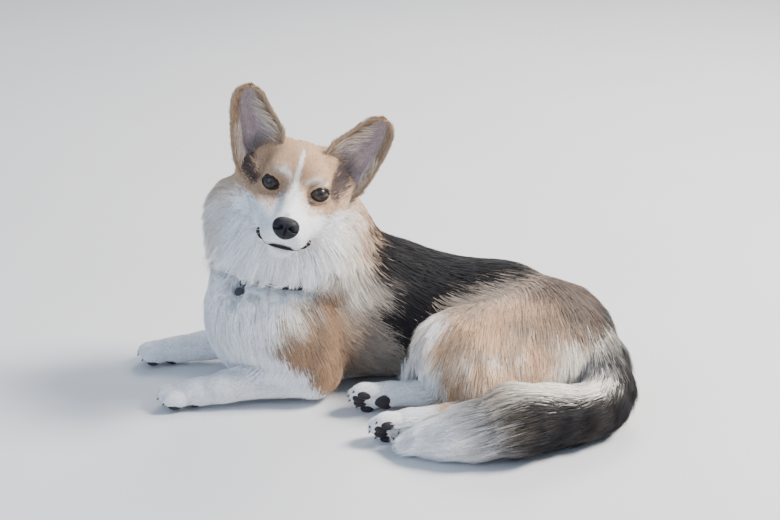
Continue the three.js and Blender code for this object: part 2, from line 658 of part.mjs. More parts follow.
for (const name of ['left', 'right']) {
  const leg = hindLeg[name];
  const turned = frame(leg.ball, leg.pawForward, rolledUp);
  const foot = hindFoot(leg, turned);
  add(`hind_foot_${name}`, pawSolid(foot, turned), colours.white, pawSolid(foot, turned, gap));
  addWrapped(`shank_${name}`, shank(leg), colours.tan);
  const hanging = name === 'left' ? [...breeches(leg), ...fringe(leg)] : breeches(leg);
  addLocked(`thigh_${name}`, thigh(leg), hanging, colours.tan);
}
addLocked('tail_base', tail([0, 0.26], 5, [3, 0]), tailBrush([0.02, 0.2], 4, 32), colours.black);
addLocked('tail_bend', tail([0.26, 0.48], 5, [0, 0]), tailBrush([0.28, 0.42], 4, 34), colours.black);
addLocked('tail_middle', tail([0.48, 0.72], 5, [0, 0]), tailBrush([0.5, 0.66], 5, 34), colours.black);
addLocked('tail_tip', tail([0.72, 1], 5, [0, 3]), tailBrush([0.73, 0.88], 4, 28), colours.white);

// The origin is the middle of the base.
const bounds = new THREE.Box3().setFromObject(dog);
const middle = bounds.getCenter(v(0, 0, 0));
dog.position.set(-middle.x, -middle.y, 0);

export default dog;
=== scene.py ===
import time
from math import cos, pi, radians, sin

import bmesh
import bpy
import numpy as np
from mathutils import Matrix, Vector
from mathutils.bvhtree import BVHTree
from mathutils.kdtree import KDTree


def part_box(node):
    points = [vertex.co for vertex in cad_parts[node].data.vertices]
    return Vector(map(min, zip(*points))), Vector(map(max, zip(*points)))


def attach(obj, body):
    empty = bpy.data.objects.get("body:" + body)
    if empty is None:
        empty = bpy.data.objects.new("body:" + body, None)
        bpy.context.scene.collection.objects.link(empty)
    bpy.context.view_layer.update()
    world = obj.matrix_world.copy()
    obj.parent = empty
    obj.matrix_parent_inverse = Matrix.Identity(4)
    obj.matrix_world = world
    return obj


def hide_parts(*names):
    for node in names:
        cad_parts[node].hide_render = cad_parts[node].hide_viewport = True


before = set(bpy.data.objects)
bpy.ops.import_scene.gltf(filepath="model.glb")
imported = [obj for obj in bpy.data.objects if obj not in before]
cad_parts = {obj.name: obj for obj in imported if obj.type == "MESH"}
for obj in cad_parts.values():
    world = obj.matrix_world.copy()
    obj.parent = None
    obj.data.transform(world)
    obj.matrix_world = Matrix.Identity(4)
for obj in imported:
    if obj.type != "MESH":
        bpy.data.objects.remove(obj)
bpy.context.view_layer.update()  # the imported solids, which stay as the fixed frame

startTime = time.time()


def report(text):
    print(f"{time.time() - startTime:6.1f} s  {text}")


# Points and turned frames. The dog is laid out in its own millimetres, as its solids are, and toFrame puts
# the finished points in the shared frame.
def unit(v):
    v = np.asarray(v, float)
    return v / np.maximum(np.linalg.norm(v, axis=-1, keepdims=True), 1e-9)


def dot(a, b):
    return np.einsum("...i,...i", a, b)


class Turned:  # a point with its own forward, left and up
    def __init__(self, origin, forward, up):
        self.origin = np.asarray(origin, float)
        self.f = unit(forward)
        self.l = unit(np.cross(up, self.f))
        self.u = np.cross(self.f, self.l)
        self.axes = np.stack([self.f, self.l, self.u])

    def at(self, f=0, l=0, u=0):
        return self.origin + np.stack(np.broadcast_arrays(f, l, u), -1) @ self.axes

    def local(self, points):
        return (points - self.origin) @ self.axes.T


layout = {
    "headOrigin": (-107, -150, 271),  # midway between the eyes
    "sight": (0.059, -0.952, 0.299),  # where the face looks, before the pitch
    "headRoll": radians(14),
    "headPitch": radians(17),
    "chestOrigin": (-72, -66, 0),
    "chestTurn": radians(17),
    "pelvisRoll": radians(55),
    "eyeApart": 54,
    "eyeRadius": 11.5,
}
sight = unit(layout["sight"])
roll, pitch, chestTurn = layout["headRoll"], layout["headPitch"], layout["chestTurn"]
picturedUp = unit((0, sight[2], -sight[1])) * cos(roll) + np.array([sin(roll), 0, 0])
head = Turned(layout["headOrigin"], sight * cos(pitch) - picturedUp * sin(pitch), picturedUp)
chest = Turned(layout["chestOrigin"], (-cos(chestTurn), -sin(chestTurn), 0), (0, 0, 1))
rolledUp = np.array([0, sin(layout["pelvisRoll"]), cos(layout["pelvisRoll"])])
floorUp = np.array([0.0, 0.0, 1.0])
mouthMiddle = head.at(30, 0, -42)
floorGap = 0.3  # how far the paws' pads and the hair stay above the floor


def eyeFrame(side):
    looking = head.f + head.l * side * 0.27 + head.u * 0.05
    return Turned(head.at(-4, side * layout["eyeApart"] / 2, 0), looking, head.u - head.l * side * 0.16)


eyes = {"left": eyeFrame(1), "right": eyeFrame(-1)}
nose = Turned(head.at(68, 0, -25), head.f + head.u * 0.2, head.u)
mm = 0.001
shift = np.array(sum(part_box("eye_left"), Vector())) / 2 / mm - eyes["left"].origin


def toFrame(points):
    return (np.asarray(points, float) + shift) * mm


# Forms. Each gives how far points lie outside it, and adds its rough shape to a bmesh.
class Limb:  # a rounded rod that tapers
    def __init__(self, a, b, ra, rb):
        self.a, self.b, self.ra, self.rb = np.asarray(a, float), np.asarray(b, float), ra, rb

    def distance(self, points):
        along = self.b - self.a
        t = np.clip((points - self.a) @ along / (along @ along), 0, 1)
        radius = self.ra + (self.rb - self.ra) * t
        return np.linalg.norm(points - self.a - t[:, None] * along, axis=1) - radius

    def addTo(self, bm):
        for end, radius in ((self.a, self.ra), (self.b, self.rb)):
            bmesh.ops.create_icosphere(bm, subdivisions=3, radius=radius, matrix=Matrix.Translation(end))
        along = Vector(self.b - self.a)
        turn = along.to_track_quat("Z", "Y").to_matrix().to_4x4()
        bmesh.ops.create_cone(
            bm, cap_ends=True, segments=24, radius1=self.ra, radius2=self.rb, depth=along.length,
            matrix=Matrix.Translation((self.a + self.b) / 2) @ turn,
        )


class Egg:  # an ellipsoid turned to a frame
    def __init__(self, centre, radii, turned):
        self.centre, self.radii, self.axes = np.asarray(centre, float), np.array(radii, float), turned.axes

    def distance(self, points):
        local = (points - self.centre) @ self.axes.T / self.radii
        inner = np.linalg.norm(local, axis=1)
        slope = np.linalg.norm(local / self.radii, axis=1)
        return inner * (inner - 1) / np.maximum(slope, 1e-6)

    def addTo(self, bm):
        turn = Matrix((self.axes * self.radii[:, None]).T).to_4x4()
        place = Matrix.Translation(self.centre)
        bmesh.ops.create_icosphere(bm, subdivisions=4, radius=1, matrix=place @ turn)


lidSizes = {"halfLength": 9.9, "riseTop": 6.7, "riseLow": 5.9, "ball": 13.0, "depth": 2}


def riseOf(u):  # half the height of the opening, above and below the line of sight
    return np.where(u > 0, lidSizes["riseTop"], lidSizes["riseLow"])


def openingOf(turn):  # the almond between the lids, in the eye's own left and up
    rise = riseOf(np.sin(turn))
    return lidSizes["halfLength"] * np.cos(turn), rise * np.sin(turn) * np.abs(np.sin(turn)) ** 0.45


class Almond:  # the space in front of an eyeball, as wide as the opening
    def __init__(self, eye):
        self.eye = eye

    def distance(self, points):
        f, l, u = self.eye.local(points).T
        q = (np.abs(l / lidSizes["halfLength"]) ** 1.8 + np.abs(u / riseOf(u)) ** 1.8) ** (1 / 1.8)
        return np.maximum((q - 1) * 6.5, lidSizes["depth"] - f)


def softMin(a, b, k):
    h = np.maximum(k - np.abs(a - b), 0) / k
    return np.minimum(a, b) - h * h * k * 0.25


def blended(forms, points, k, hollows=(), hollowWidth=10):
    d = forms[0].distance(points)
    for form in forms[1:]:
        d = softMin(d, form.distance(points), k)
    for hollow in hollows:
        d = -softMin(-d, hollow.distance(points), hollowWidth)
    return d


def partField(part, points):  # one part, with its hollows, lids and creases
    d = blended(part["forms"], points, part["k"], part.get("hollows", ())) - part.get("grow", 0)
    for ball, slit in part.get("lids", ()):
        d = softMin(d, ball.distance(points), 5)
        d = -softMin(-d, slit.distance(points), 1.5)
    for crease in part.get("creases", ()):
        d = -softMin(-d, crease.distance(points), 3)
    return d


def slopeOf(field, points, step=0.4):
    d = field(points)
    slope = np.stack([field(points + np.eye(3)[i] * step) - d for i in range(3)], -1)
    return d, unit(slope)


def reach(field, origin, rays, limit):  # how far out along each ray the surface lies, from outside
    far = np.full(len(rays), float(limit))
    for _ in range(60):
        far = np.maximum(far - field(origin + rays * far[:, None]) * 0.9, 0.3)
    return far


def between(x, knots, rows):  # rows of values, read at places between their knots
    return np.stack([np.interp(x, knots, column) for column in np.asarray(rows, float).T], -1)


def alongCurve(curve, t):
    return between(np.clip(t, 0, 1) * (len(curve) - 1), np.arange(len(curve)), curve)


def smoothCurve(points, count=400):  # a centripetal curve through points, evenly spaced
    points = np.asarray(points, float)
    first, last = 2 * points[0] - points[1], 2 * points[-1] - points[-2]
    p = np.concatenate([[first], points, [last]])
    knots = np.concatenate([[0], np.cumsum(np.linalg.norm(np.diff(p, axis=0), axis=1) ** 0.5)])
    made = []
    for i in range(1, len(p) - 2):
        t = np.linspace(knots[i], knots[i + 1], 40)[:, None]

        def lerp(a, b, ta, tb):
            return a * (tb - t) / (tb - ta) + b * (t - ta) / (tb - ta)

        a = [lerp(p[j], p[j + 1], knots[j], knots[j + 1]) for j in (i - 1, i, i + 1)]
        b = [lerp(a[j], a[j + 1], knots[i - 1 + j], knots[i + 1 + j]) for j in (0, 1)]
        made.append(lerp(b[0], b[1], knots[i], knots[i + 1]))
    made = np.concatenate(made)
    walked = np.concatenate([[0], np.cumsum(np.linalg.norm(np.diff(made, axis=0), axis=1))])
    return between(np.linspace(0, walked[-1], count), walked, made)


def treeOf(points):
    tree = KDTree(len(points))
    for i, point in enumerate(points.tolist()):
        tree.insert(point, i)
    tree.balance()
    return tree


def mixed(a, b, share):
    return a + (b - a) * share


# The body's parts, as bones and muscles under the skin: forms, how softly they run together (k), how softly
# the part joins the ones before it (join), and the coat on it.
def skullForms(side):
    return [
        Limb(head.at(-30, side * 34, -22), head.at(18, side * 19, -34), 22, 16),
        Egg(head.at(-16, side * 36, -14), (22, 13, 13), head),
        Egg(head.at(-46, side * 38, -20), (28, 26, 34), head),
        Egg(head.at(-5, side * 20, 14), (11, 13, 6), head),
        Limb(head.at(20, side * 17, -37), head.at(58, side * 8.5, -34), 14, 10),
        Egg(head.at(44, side * 14, -44), (17, 10, 10), head),
        Limb(head.at(-46, side * 27, 30), head.at(-46, side * 54, 2), 12, 14),
    ]


tailPath = [
    (206, -66, 84), (238, -104, 75), (251, -150, 59), (253, -190, 42), (244, -218, 35), (222, -238, 33),
    (190, -252, 36), (146, -275, 41), (101, -286, 34), (67, -286, 27), (34, -277, 18), (12, -275, 10),
]
tailRadii = [22, 29, 30, 31, 31, 32, 36, 42, 35, 28, 18, 8]
tailCurve = smoothCurve(tailPath)
foreLegs = {
    "left": {
        "shoulder": chest.at(52, 38, 84), "elbow": chest.at(38, 56, 38), "wrist": (-196, -150, 24),
        "foot": Turned((-226, -152, 19), (-1, -0.06, 0), floorUp),
    },
    "right": {
        "shoulder": chest.at(52, -38, 84), "elbow": chest.at(38, -56, 38), "wrist": (-236, -24, 24),
        "foot": Turned((-268, -25, 19), (-1, 0.02, 0), floorUp),
    },
}
hindLegs = {
    "left": {
        "hip": (180, -96, 88), "knee": (78, -154, 73), "hock": (114, -222, 28),
        "foot": Turned((24, -240, 23), (-1, -0.14, -0.05), rolledUp),
    },
    "right": {
        "hip": (186, -50, 36), "knee": (62, -106, 36), "hock": (116, -168, 25),
        "foot": Turned((0, -168, 24), (-1, 0.08, -0.06), rolledUp),
    },
}


pawSizes = {"radius": 14, "length": 16, "toe": (16.5, 7.4, 9.6), "apart": 9.6, "spread": 0.12}


def jointsOf(leg):
    return [np.array(leg[joint], float) for joint in ("hip", "knee", "hock")]


def toesOf(foot):
    toes = []
    for place in (-1.5, -0.5, 0.5, 1.5):
        middle = abs(place) < 1
        origin = foot.at(32 if middle else 25, place * pawSizes["apart"], -1 if middle else -3)
        toes.append(Turned(origin, foot.f + foot.l * place * pawSizes["spread"], foot.u))
    return toes


def pawForms(foot):
    radius = pawSizes["radius"]
    palm = Limb(foot.origin, foot.at(pawSizes["length"]), radius, radius - 1)
    return [palm] + [Egg(toe.origin, pawSizes["toe"], toe) for toe in toesOf(foot)]


def coat(length, depth, width, free=0.03):  # free is how far the tips stand out, as a share of the length
    return {"length": length, "depth": depth, "width": width, "free": free}


parts = {
    "torso": {
        "forms": [
            Egg(chest.at(0, 0, 88), (128, 57, 78), chest),
            Egg(chest.at(80, 0, 86), (50, 52, 64), chest),
            Limb(chest.at(18, 0, 128), (-10, -54, 126), 36, 36),
            Limb((10, -50, 76), (110, -60, 70), 62, 56),
            Limb((0, -46, 104), (140, -58, 86), 46, 44),
            Limb((140, -62, 74), (208, -78, 66), 52, 45),
            Limb((208, -78, 70), (230, -92, 64), 38, 28),
            Egg((-161, -88, 104), (47, 46, 60), chest),
        ],
        "k": 30, "join": 30, "grow": 6, "coat": coat(35, 5, 1.1),
    },
    "neck": {
        "forms": [
            Limb((-98, -76, 146), (-114, -86, 214), 48, 44),
            Egg(head.at(-56, -9, -58), (32, 72, 38), head),
            Egg((-118, -108, 192), (44, 56, 32), Turned((0, 0, 0), (0, -1, 0), floorUp)),
            Limb((-58, -56, 148), head.at(-70, -4, -18), 42, 32),
            Egg((-145, -94, 188), (42, 48, 34), Turned((0, 0, 0), (0, -1, 0), floorUp)),
            Egg((-152, -92, 152), (38, 40, 34), chest),
        ],
        "k": 34, "join": 16, "grow": 12, "coat": coat(46, 7, 1.05, 0.14),
    },
    "head": {
        "forms": [
            Egg(head.at(-42, 0, 6), (47, 45, 35), head),
            Egg(head.at(-15, 0, 12), (19, 32, 20), head),
            Limb(head.at(2, 0, -12), head.at(62, 0, -25), 16, 9.5),
            Limb(head.at(-20, 0, -50), head.at(51, 0, -52), 20, 6),
            Egg(head.at(51, 0, -58), (11, 12, 8), head),
            *skullForms(1),
            *skullForms(-1),
        ],
        "hollows": [Egg(eye.at(17), (13, 19, 15), eye) for eye in eyes.values()],
        "lids": [(Egg(eye.origin, [lidSizes["ball"]] * 3, eye), Almond(eye)) for eye in eyes.values()],
        "k": 13, "join": 12, "coat": coat(9, 2.6, 0.95, 0),
    },
}
for name, leg in foreLegs.items():
    parts["arm_" + name] = {
        "forms": [
            Egg(leg["shoulder"], (46, 34, 46), chest),
            Limb(leg["shoulder"], leg["elbow"], 34, 25),
        ],
        "k": 20, "join": 18, "grow": 5.5, "coat": coat(30, 4.5, 1.15),
    }
    parts["forearm_" + name] = {
        "forms": [
            Limb(leg["elbow"], leg["wrist"], 27, 15),
            Limb(leg["wrist"], leg["foot"].origin, 15, 14),
        ],
        "k": 8, "join": 7, "grow": 1.6, "coat": coat(14, 2.8, 1.0),
    }
    parts["forepaw_" + name] = {
        "forms": pawForms(leg["foot"]), "k": 5, "join": 8, "coat": coat(7, 1.6, 0.9, 0),
    }
for name, leg in hindLegs.items():
    hip, knee, hock = jointsOf(leg)
    parts["thigh_" + name] = {
        "forms": [
            Limb(hip, knee, 42, 30),
            Limb(hip + (20, -20, -24), hock + (10, 14, 14), 36, 20),
            Limb(knee, knee + (hock - knee) * 0.85, 29, 16),
        ] + ([Egg((220, -134, 66), (32, 26, 34), chest)] if name == "left" else []),
        "k": 36, "join": 12, "grow": 7, "coat": coat(36, 5, 1.1, 0.05),
    }
    parts["shank_" + name] = {
        "forms": [Limb(knee, hock, 20, 13)], "k": 8, "join": 8, "grow": 1.6, "coat": coat(17, 3, 1.05),
    }
    parts["hindfoot_" + name] = {
        "forms": [Limb(hock, leg["foot"].origin, 14, 14), *pawForms(leg["foot"])],
        "k": 5, "join": 6, "coat": coat(8, 1.9, 0.95, 0),
    }
parts["tail"] = {
    "forms": [
        Limb(a, b, ra * 0.82, rb * 0.82)
        for a, b, ra, rb in zip(tailPath, tailPath[1:], tailRadii, tailRadii[1:])
    ],
    "k": 10, "join": 6, "coat": coat(54, 5, 1.1, 0.1),
}
partNames = list(parts)


def shareOf(weights, *names):  # how much of each point belongs to the named parts
    return sum(weights[:, partNames.index(name)] for name in names)


def partDistances(points):
    return np.stack([partField(part, points) for part in parts.values()], -1)


# The collar lies in a gap of the coat, which shows under the ruff in front and closes at the sides.
collarSizes = {
    "origin": (-112, -88, 166), "tilt": 0.25, "gapHalf": 8, "gapDepth": 5, "softness": 4,
    "front": -178, "rear": -86, "far": -100,
    "growth": (11.5, 11.5, 11.5, 7), "k": 34,  # of the neck's first forms, which the collar lies on
}
tilt = collarSizes["tilt"]
collar = Turned(collarSizes["origin"], (0, -1, -tilt), (0, -tilt, 1))


def neckCoreField(points):
    pairs = zip(parts["neck"]["forms"], collarSizes["growth"])
    d, *others = [form.distance(points) - growth for form, growth in pairs]
    for other in others:
        d = softMin(d, other, collarSizes["k"])
    return d


ringGap = Egg((-178, -131, 143), (9, 14, 12), chest)


def collarGap(points):  # how deep points lie inside the gap
    x, y, _ = points.T
    up = collar.local(points)[:, 2]
    gap = np.minimum(collarSizes["gapHalf"] - np.abs(up), neckCoreField(points) + collarSizes["gapDepth"])
    for inside in (x - collarSizes["front"], collarSizes["rear"] - x, collarSizes["far"] - y):
        gap = np.minimum(gap, inside)
    return np.maximum(gap, -ringGap.distance(points))


pressed = {"height": 1.0, "softness": 5}  # where the body lies flat on the floor


def bodyField(points):
    distances = partDistances(points)
    d = distances[:, 0]
    for i, part in enumerate(parts.values()):
        if i:
            d = softMin(d, distances[:, i], part["join"])
    d = -softMin(-d, -collarGap(points), collarSizes["softness"])
    return -softMin(-d, points[:, 2] - pressed["height"], pressed["softness"])


def headField(points):
    return partField(parts["head"], points)


# The mouth line, from under the nose round to its corners, and the crease that it lies in
lipLine = [(66.5, -48.5), (62, -51), (54, -52.5), (45, -52.5), (38, -49.5), (33, -45)]
creaseSizes = {"radius": 2.6, "out": 1.4, "step": 9}


def lipPath(side):
    path = []
    for f, u in smoothCurve([(f, 0, u) for f, u in lipLine], 26)[:, [0, 2]]:
        base = head.at(f, 0, u)
        far = reach(headField, base, (head.l * side)[None], 45)[0]
        if far > 0.8:
            path.append(base + head.l * side * far)
    return path


lipWay = smoothCurve(lipPath(-1)[::-1] + lipPath(1), 90)
lipsOut = unit(lipWay - mouthMiddle)
creaseWay = (lipWay + lipsOut * creaseSizes["out"])[:: creaseSizes["step"]]
parts["head"]["creases"] = [
    Limb(a, b, creaseSizes["radius"], creaseSizes["radius"]) for a, b in zip(creaseWay, creaseWay[1:])
]


# Shader maths: arithmetic on a Value adds Math nodes, and a Finish is one material.
def fill(tree, socket, value):
    if isinstance(value, Value):
        tree.links.new(value.socket, socket)
    else:
        socket.default_value = value


class Value:
    def __init__(self, tree, socket):
        self.tree, self.socket = tree, socket

    def combine(self, operation, a, b):
        node = self.tree.nodes.new("ShaderNodeMath")
        node.operation = operation
        for socket, value in zip(node.inputs, (a, b)):
            fill(self.tree, socket, value)
        return Value(self.tree, node.outputs[0])

    def __add__(self, other):
        return self.combine("ADD", self, other)

    def __radd__(self, other):
        return self.combine("ADD", other, self)

    def __sub__(self, other):
        return self.combine("SUBTRACT", self, other)

    def __rsub__(self, other):
        return self.combine("SUBTRACT", other, self)

    def __mul__(self, other):
        return self.combine("MULTIPLY", self, other)

    def __rmul__(self, other):
        return self.combine("MULTIPLY", other, self)


class Finish:
    def __init__(self, name, **values):
        self.material = bpy.data.materials.new(name)
        self.material.use_nodes = True
        self.tree = self.material.node_tree
        self.tree.nodes.clear()
        self.shader = self.tree.nodes.new("ShaderNodeBsdfPrincipled")
        output = self.tree.nodes.new("ShaderNodeOutputMaterial")
        self.tree.links.new(self.shader.outputs[0], output.inputs[0])
        self.set(**values)

    def set(self, **sockets):
        for name, value in sockets.items():
            fill(self.tree, self.shader.inputs[name.replace("_", " ")], value)

    def node(self, kind, settings, sockets, output=0):
        node = self.tree.nodes.new("ShaderNode" + kind)
        for key, value in settings.items():
            if key == "stops":
                stops = node.color_ramp.elements
                while len(stops) < len(value):
                    stops.new(0.5)
                for stop, (position, colour) in zip(stops, value):
                    stop.position = position
                    stop.color = colour
            else:
                setattr(node, key, value)
        for key, value in sockets.items():
            fill(self.tree, node.inputs[key], value)
        return Value(self.tree, node.outputs[output])

    def where(self):
        return self.node("TexCoord", {}, {}, "Object")

    def noise(self, scale, detail):
        return self.node("TexNoise", {}, {"Vector": self.where(), "Scale": scale, "Detail": detail}, "Fac")

    def mix(self, factor, a, b, blend="MIX"):
        return self.node("Mix", {"data_type": "RGBA", "blend_type": blend}, {0: factor, 6: a, 7: b}, 2)

    def ramp(self, factor, stops):
        return self.node("ValToRGB", {"stops": stops}, {0: factor})

    def bump(self, height, strength, distance):
        self.set(Normal=self.node("Bump", {}, {"Height": height, "Strength": strength, "Distance": distance}))

    def tinted(self, scale, detail, dark, pale):  # the mesh's own tint, a little uneven
        tint = self.node("Attribute", {"attribute_name": "tint"}, {}, "Color")
        uneven = self.ramp(self.noise(scale, detail), [(0.3, grey(dark)), (0.7, grey(pale))])
        self.set(Base_Color=self.mix(1.0, tint, uneven, "MULTIPLY"))

    def blotched(self, factor, dark, pale):
        self.set(Base_Color=self.mix(factor, (*srgb(*dark), 1), (*srgb(*pale), 1)))


def srgb(*levels):
    c = np.array(levels, float) / 255
    return np.where(c > 0.04045, ((c + 0.055) / 1.055) ** 2.4, c / 12.92)


def grey(level):
    return (level, level, level, 1)


# Finishes
def coatFinish():
    made = Finish("coat", Specular_IOR_Level=0.2, Sheen_Weight=0.04, Sheen_Roughness=0.5)
    made.tinted(420, 2, 0.86, 1.1)
    made.set(Roughness=made.noise(60, 2) * 0.2 + 0.52)
    return made.material


def skinFinish():
    made = Finish("skin", Specular_IOR_Level=0.15, Sheen_Weight=0.04, Sheen_Roughness=0.6)
    made.tinted(350, 4, 0.82, 1.05)
    made.set(Roughness=made.noise(90, 2) * 0.2 + 0.6)
    made.bump(made.noise(500, 4), 0.5, 0.0008)
    return made.material


def eyeFinish():
    made = Finish("eye", Coat_Weight=0.5, Coat_Roughness=0.03, Roughness=0.35, Specular_IOR_Level=0.3)
    made.tinted(900, 3, 0.75, 1.15)
    return made.material


def metalFinish():
    made = Finish("metal", Metallic=1.0)
    wear = made.noise(700, 4)
    made.blotched(wear, (46, 45, 50), (104, 103, 110))
    made.set(Roughness=wear * 0.3 + 0.25)
    made.bump(made.noise(1500, 3), 0.3, 0.0002)
    return made.material


# Bare skin, horn and leather: two colours, the pattern's scale, roughness and depth, and cells if it is pebbled
def bareFinish(name, dark, pale, scale, roughness, depth, cells=0, wet=0.0):
    made = Finish(name, Coat_Weight=wet, Coat_Roughness=0.3, Specular_IOR_Level=0.3)
    made.blotched(made.noise(scale * 0.3, 3), dark, pale)
    made.set(Roughness=made.noise(scale, 2) * 0.25 + roughness)
    height = made.noise(scale * 3, 3)
    if cells:
        sockets = {"Vector": made.where(), "Scale": cells}
        pebbles = made.node("TexVoronoi", {"feature": "DISTANCE_TO_EDGE"}, sockets)
        height = made.node("MapRange", {}, {"Value": pebbles, "From Max": 0.25}) + height * 0.3
    made.bump(height, 0.6, depth)
    return made.material


finishes = {
    "coat": coatFinish(),
    "skin": skinFinish(),
    "nose": bareFinish("nose", (9, 9, 15), (20, 20, 31), 500, 0.38, 0.0003, cells=900, wet=0.12),
    "rim": bareFinish("rim", (12, 10, 11), (26, 21, 22), 400, 0.42, 0.0002, wet=0.15),
    "pad": bareFinish("pad", (34, 31, 36), (66, 58, 62), 300, 0.55, 0.0006, cells=700),
    "claw": bareFinish("claw", (44, 38, 36), (92, 80, 74), 200, 0.4, 0.0001),
    "whisker": bareFinish("whisker", (190, 186, 182), (226, 222, 218), 200, 0.4, 0.0001),
    "collar": bareFinish("collar", (24, 23, 28), (46, 44, 52), 300, 0.5, 0.0003, cells=1200),
    "metal": metalFinish(),
    "eye": eyeFinish(),
}


# Pieces from a bmesh or from arrays of points and faces, in the dog's own millimetres
def linked(name, data):
    made = bpy.data.objects.new(name, data)
    bpy.context.scene.collection.objects.link(made)
    return made


def meshOf(name, bm):
    mesh = bpy.data.meshes.new(name)
    bm.to_mesh(mesh)
    bm.free()
    return mesh


def readRows(items, key, width, kind=np.float32):
    values = np.zeros(len(items) * width, kind)
    items.foreach_get(key, values)
    return values.reshape(-1, width)


def writeRows(items, key, rows, kind=np.float32):
    items.foreach_set(key, np.asarray(rows).astype(kind).ravel())


def pointsOf(mesh):
    return readRows(mesh.vertices, "co", 3).astype(float)


def setPoints(mesh, points):
    writeRows(mesh.vertices, "co", points)
    mesh.update()


def setTint(mesh, colours):
    attribute = mesh.attributes.new("tint", "FLOAT_COLOR", "POINT")
    writeRows(attribute.data, "color", np.concatenate([colours, np.ones((len(colours), 1))], 1))


def placed(name, mesh, finish, nodes=()):
    piece = linked(name, mesh)
    mesh.materials.append(finishes[finish])
    writeRows(mesh.polygons, "use_smooth", np.ones(len(mesh.polygons)), bool)
    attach(piece, "root")
    if nodes:
        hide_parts(*nodes)
    return piece


def pieceOf(name, bm, finish, nodes=(), tint=None):
    bmesh.ops.recalc_face_normals(bm, faces=bm.faces)
    mesh = meshOf(name, bm)
    points = pointsOf(mesh)
    if tint is not None:
        setTint(mesh, tint(points))
    setPoints(mesh, toFrame(points))
    return placed(name, mesh, finish, nodes)


def sheetOf(columns, rows, place):  # a grid whose place is worked out from the shares across and along
    bm = bmesh.new()
    bmesh.ops.create_grid(bm, x_segments=columns, y_segments=rows, size=0.5)
    flat = np.array([v.co for v in bm.verts]) + 0.5
    for v, point in zip(bm.verts, place(flat[:, 0], flat[:, 1])):
        v.co = point
    bmesh.ops.remove_doubles(bm, verts=bm.verts, dist=1e-3)
    bmesh.ops.holes_fill(bm, edges=[e for e in bm.edges if e.is_boundary])
    return bm


def blobOf(field, centre, subdivisions, limit):  # a ball drawn over a field
    bm = bmesh.new()
    bmesh.ops.create_icosphere(bm, subdivisions=subdivisions, radius=1)
    rays = unit(np.array([v.co for v in bm.verts]))
    for v, ray, far in zip(bm.verts, rays, reach(field, centre, rays, limit)):
        v.co = centre + ray * far
    return bm


def tubeOf(path, radii, up, sides=12, flat=1.0):  # a round rod along a path, closed at its ends
    path, radii = np.asarray(path, float), np.asarray(radii, float)
    tangents = unit(np.gradient(path, axis=0))
    side = unit(np.cross(tangents, np.broadcast_to(up, path.shape)))
    over = np.cross(side, tangents)

    def place(across, along):
        turn = across[:, None] * 2 * pi
        middle, out, rise, radius = (alongCurve(rows, along) for rows in (path, side, over, radii[:, None]))
        return middle + (out * np.cos(turn) + rise * np.sin(turn) * flat) * radius

    return sheetOf(sides, len(path) - 1, place)


def joinedBm(pieces):
    whole = bmesh.new()
    for bm in pieces:
        mesh = meshOf("part", bm)
        whole.from_mesh(mesh)
        bpy.data.meshes.remove(mesh)
    return whole


# Skin: the rough forms are remeshed as one closed surface, which is then drawn onto the smooth body.
skinSizes = {
    "voxel": 3.8, "rounds": 5, "maxStep": 6,
    "headRear": -58, "headHalf": 64, "headLow": -64,  # the head and the muzzle get finer faces
    "muzzle": 26, "aroundEye": 22,
}


def makeSkin():
    bm = bmesh.new()
    for part in parts.values():
        for form in part["forms"]:
            form.addTo(bm)
    rough = linked("rough", meshOf("rough", bm))
    remesh = rough.modifiers.new("remesh", "REMESH")
    remesh.mode = "VOXEL"
    remesh.voxel_size = skinSizes["voxel"]
    made = bpy.data.meshes.new_from_object(rough.evaluated_get(bpy.context.evaluated_depsgraph_get()))
    bpy.data.objects.remove(rough)
    bm = bmesh.new()
    bm.from_mesh(made)
    settle(bm, skinSizes["rounds"], bodyField)
    for refine in (onHead, aroundFeatures):
        wanted = refine(np.array([v.co for v in bm.verts]))
        bm.verts.index_update()
        edges = [e for e in bm.edges if wanted[e.verts[0].index] and wanted[e.verts[1].index]]
        bmesh.ops.subdivide_edges(bm, edges=edges, cuts=1, use_grid_fill=True)
        settle(bm, 2, bodyField)
    bm.to_mesh(made)
    bm.free()
    return made


def onHead(points):
    f, l, u = head.local(points).T
    return (f > skinSizes["headRear"]) & (np.abs(l) < skinSizes["headHalf"]) & (u > skinSizes["headLow"])


def aroundFeatures(points):
    return (head.local(points)[:, 0] > skinSizes["muzzle"]) | (eyeGaps(points) < skinSizes["aroundEye"])


def eyeGaps(points):  # how far points lie from the nearer eye
    return np.minimum(*[np.linalg.norm(points - eye.at(6), axis=1) for eye in eyes.values()])


def settle(bm, rounds, field):
    axes = {"use_axis_x": True, "use_axis_y": True, "use_axis_z": True}
    for turn in range(rounds):
        last = turn == rounds - 1
        if not last:
            bmesh.ops.smooth_vert(bm, verts=bm.verts, factor=0.5, **axes)
        points = np.array([v.co for v in bm.verts])
        for _ in range(2 if last else 1):
            d, slope = slopeOf(field, points)
            points = points - slope * np.clip(d, -skinSizes["maxStep"], skinSizes["maxStep"])[:, None]
        for v, point in zip(bm.verts, points):
            v.co = point


def unwrap(piece):
    piece.data.uv_layers.new(name="OFBake")
    bpy.context.view_layer.objects.active = piece
    piece.select_set(True)
    bpy.ops.object.mode_set(mode="EDIT")
    bpy.ops.mesh.select_all(action="SELECT")
    bpy.ops.uv.smart_project(angle_limit=radians(66), island_margin=0.001)
    bpy.ops.object.mode_set(mode="OBJECT")
    piece.select_set(False)


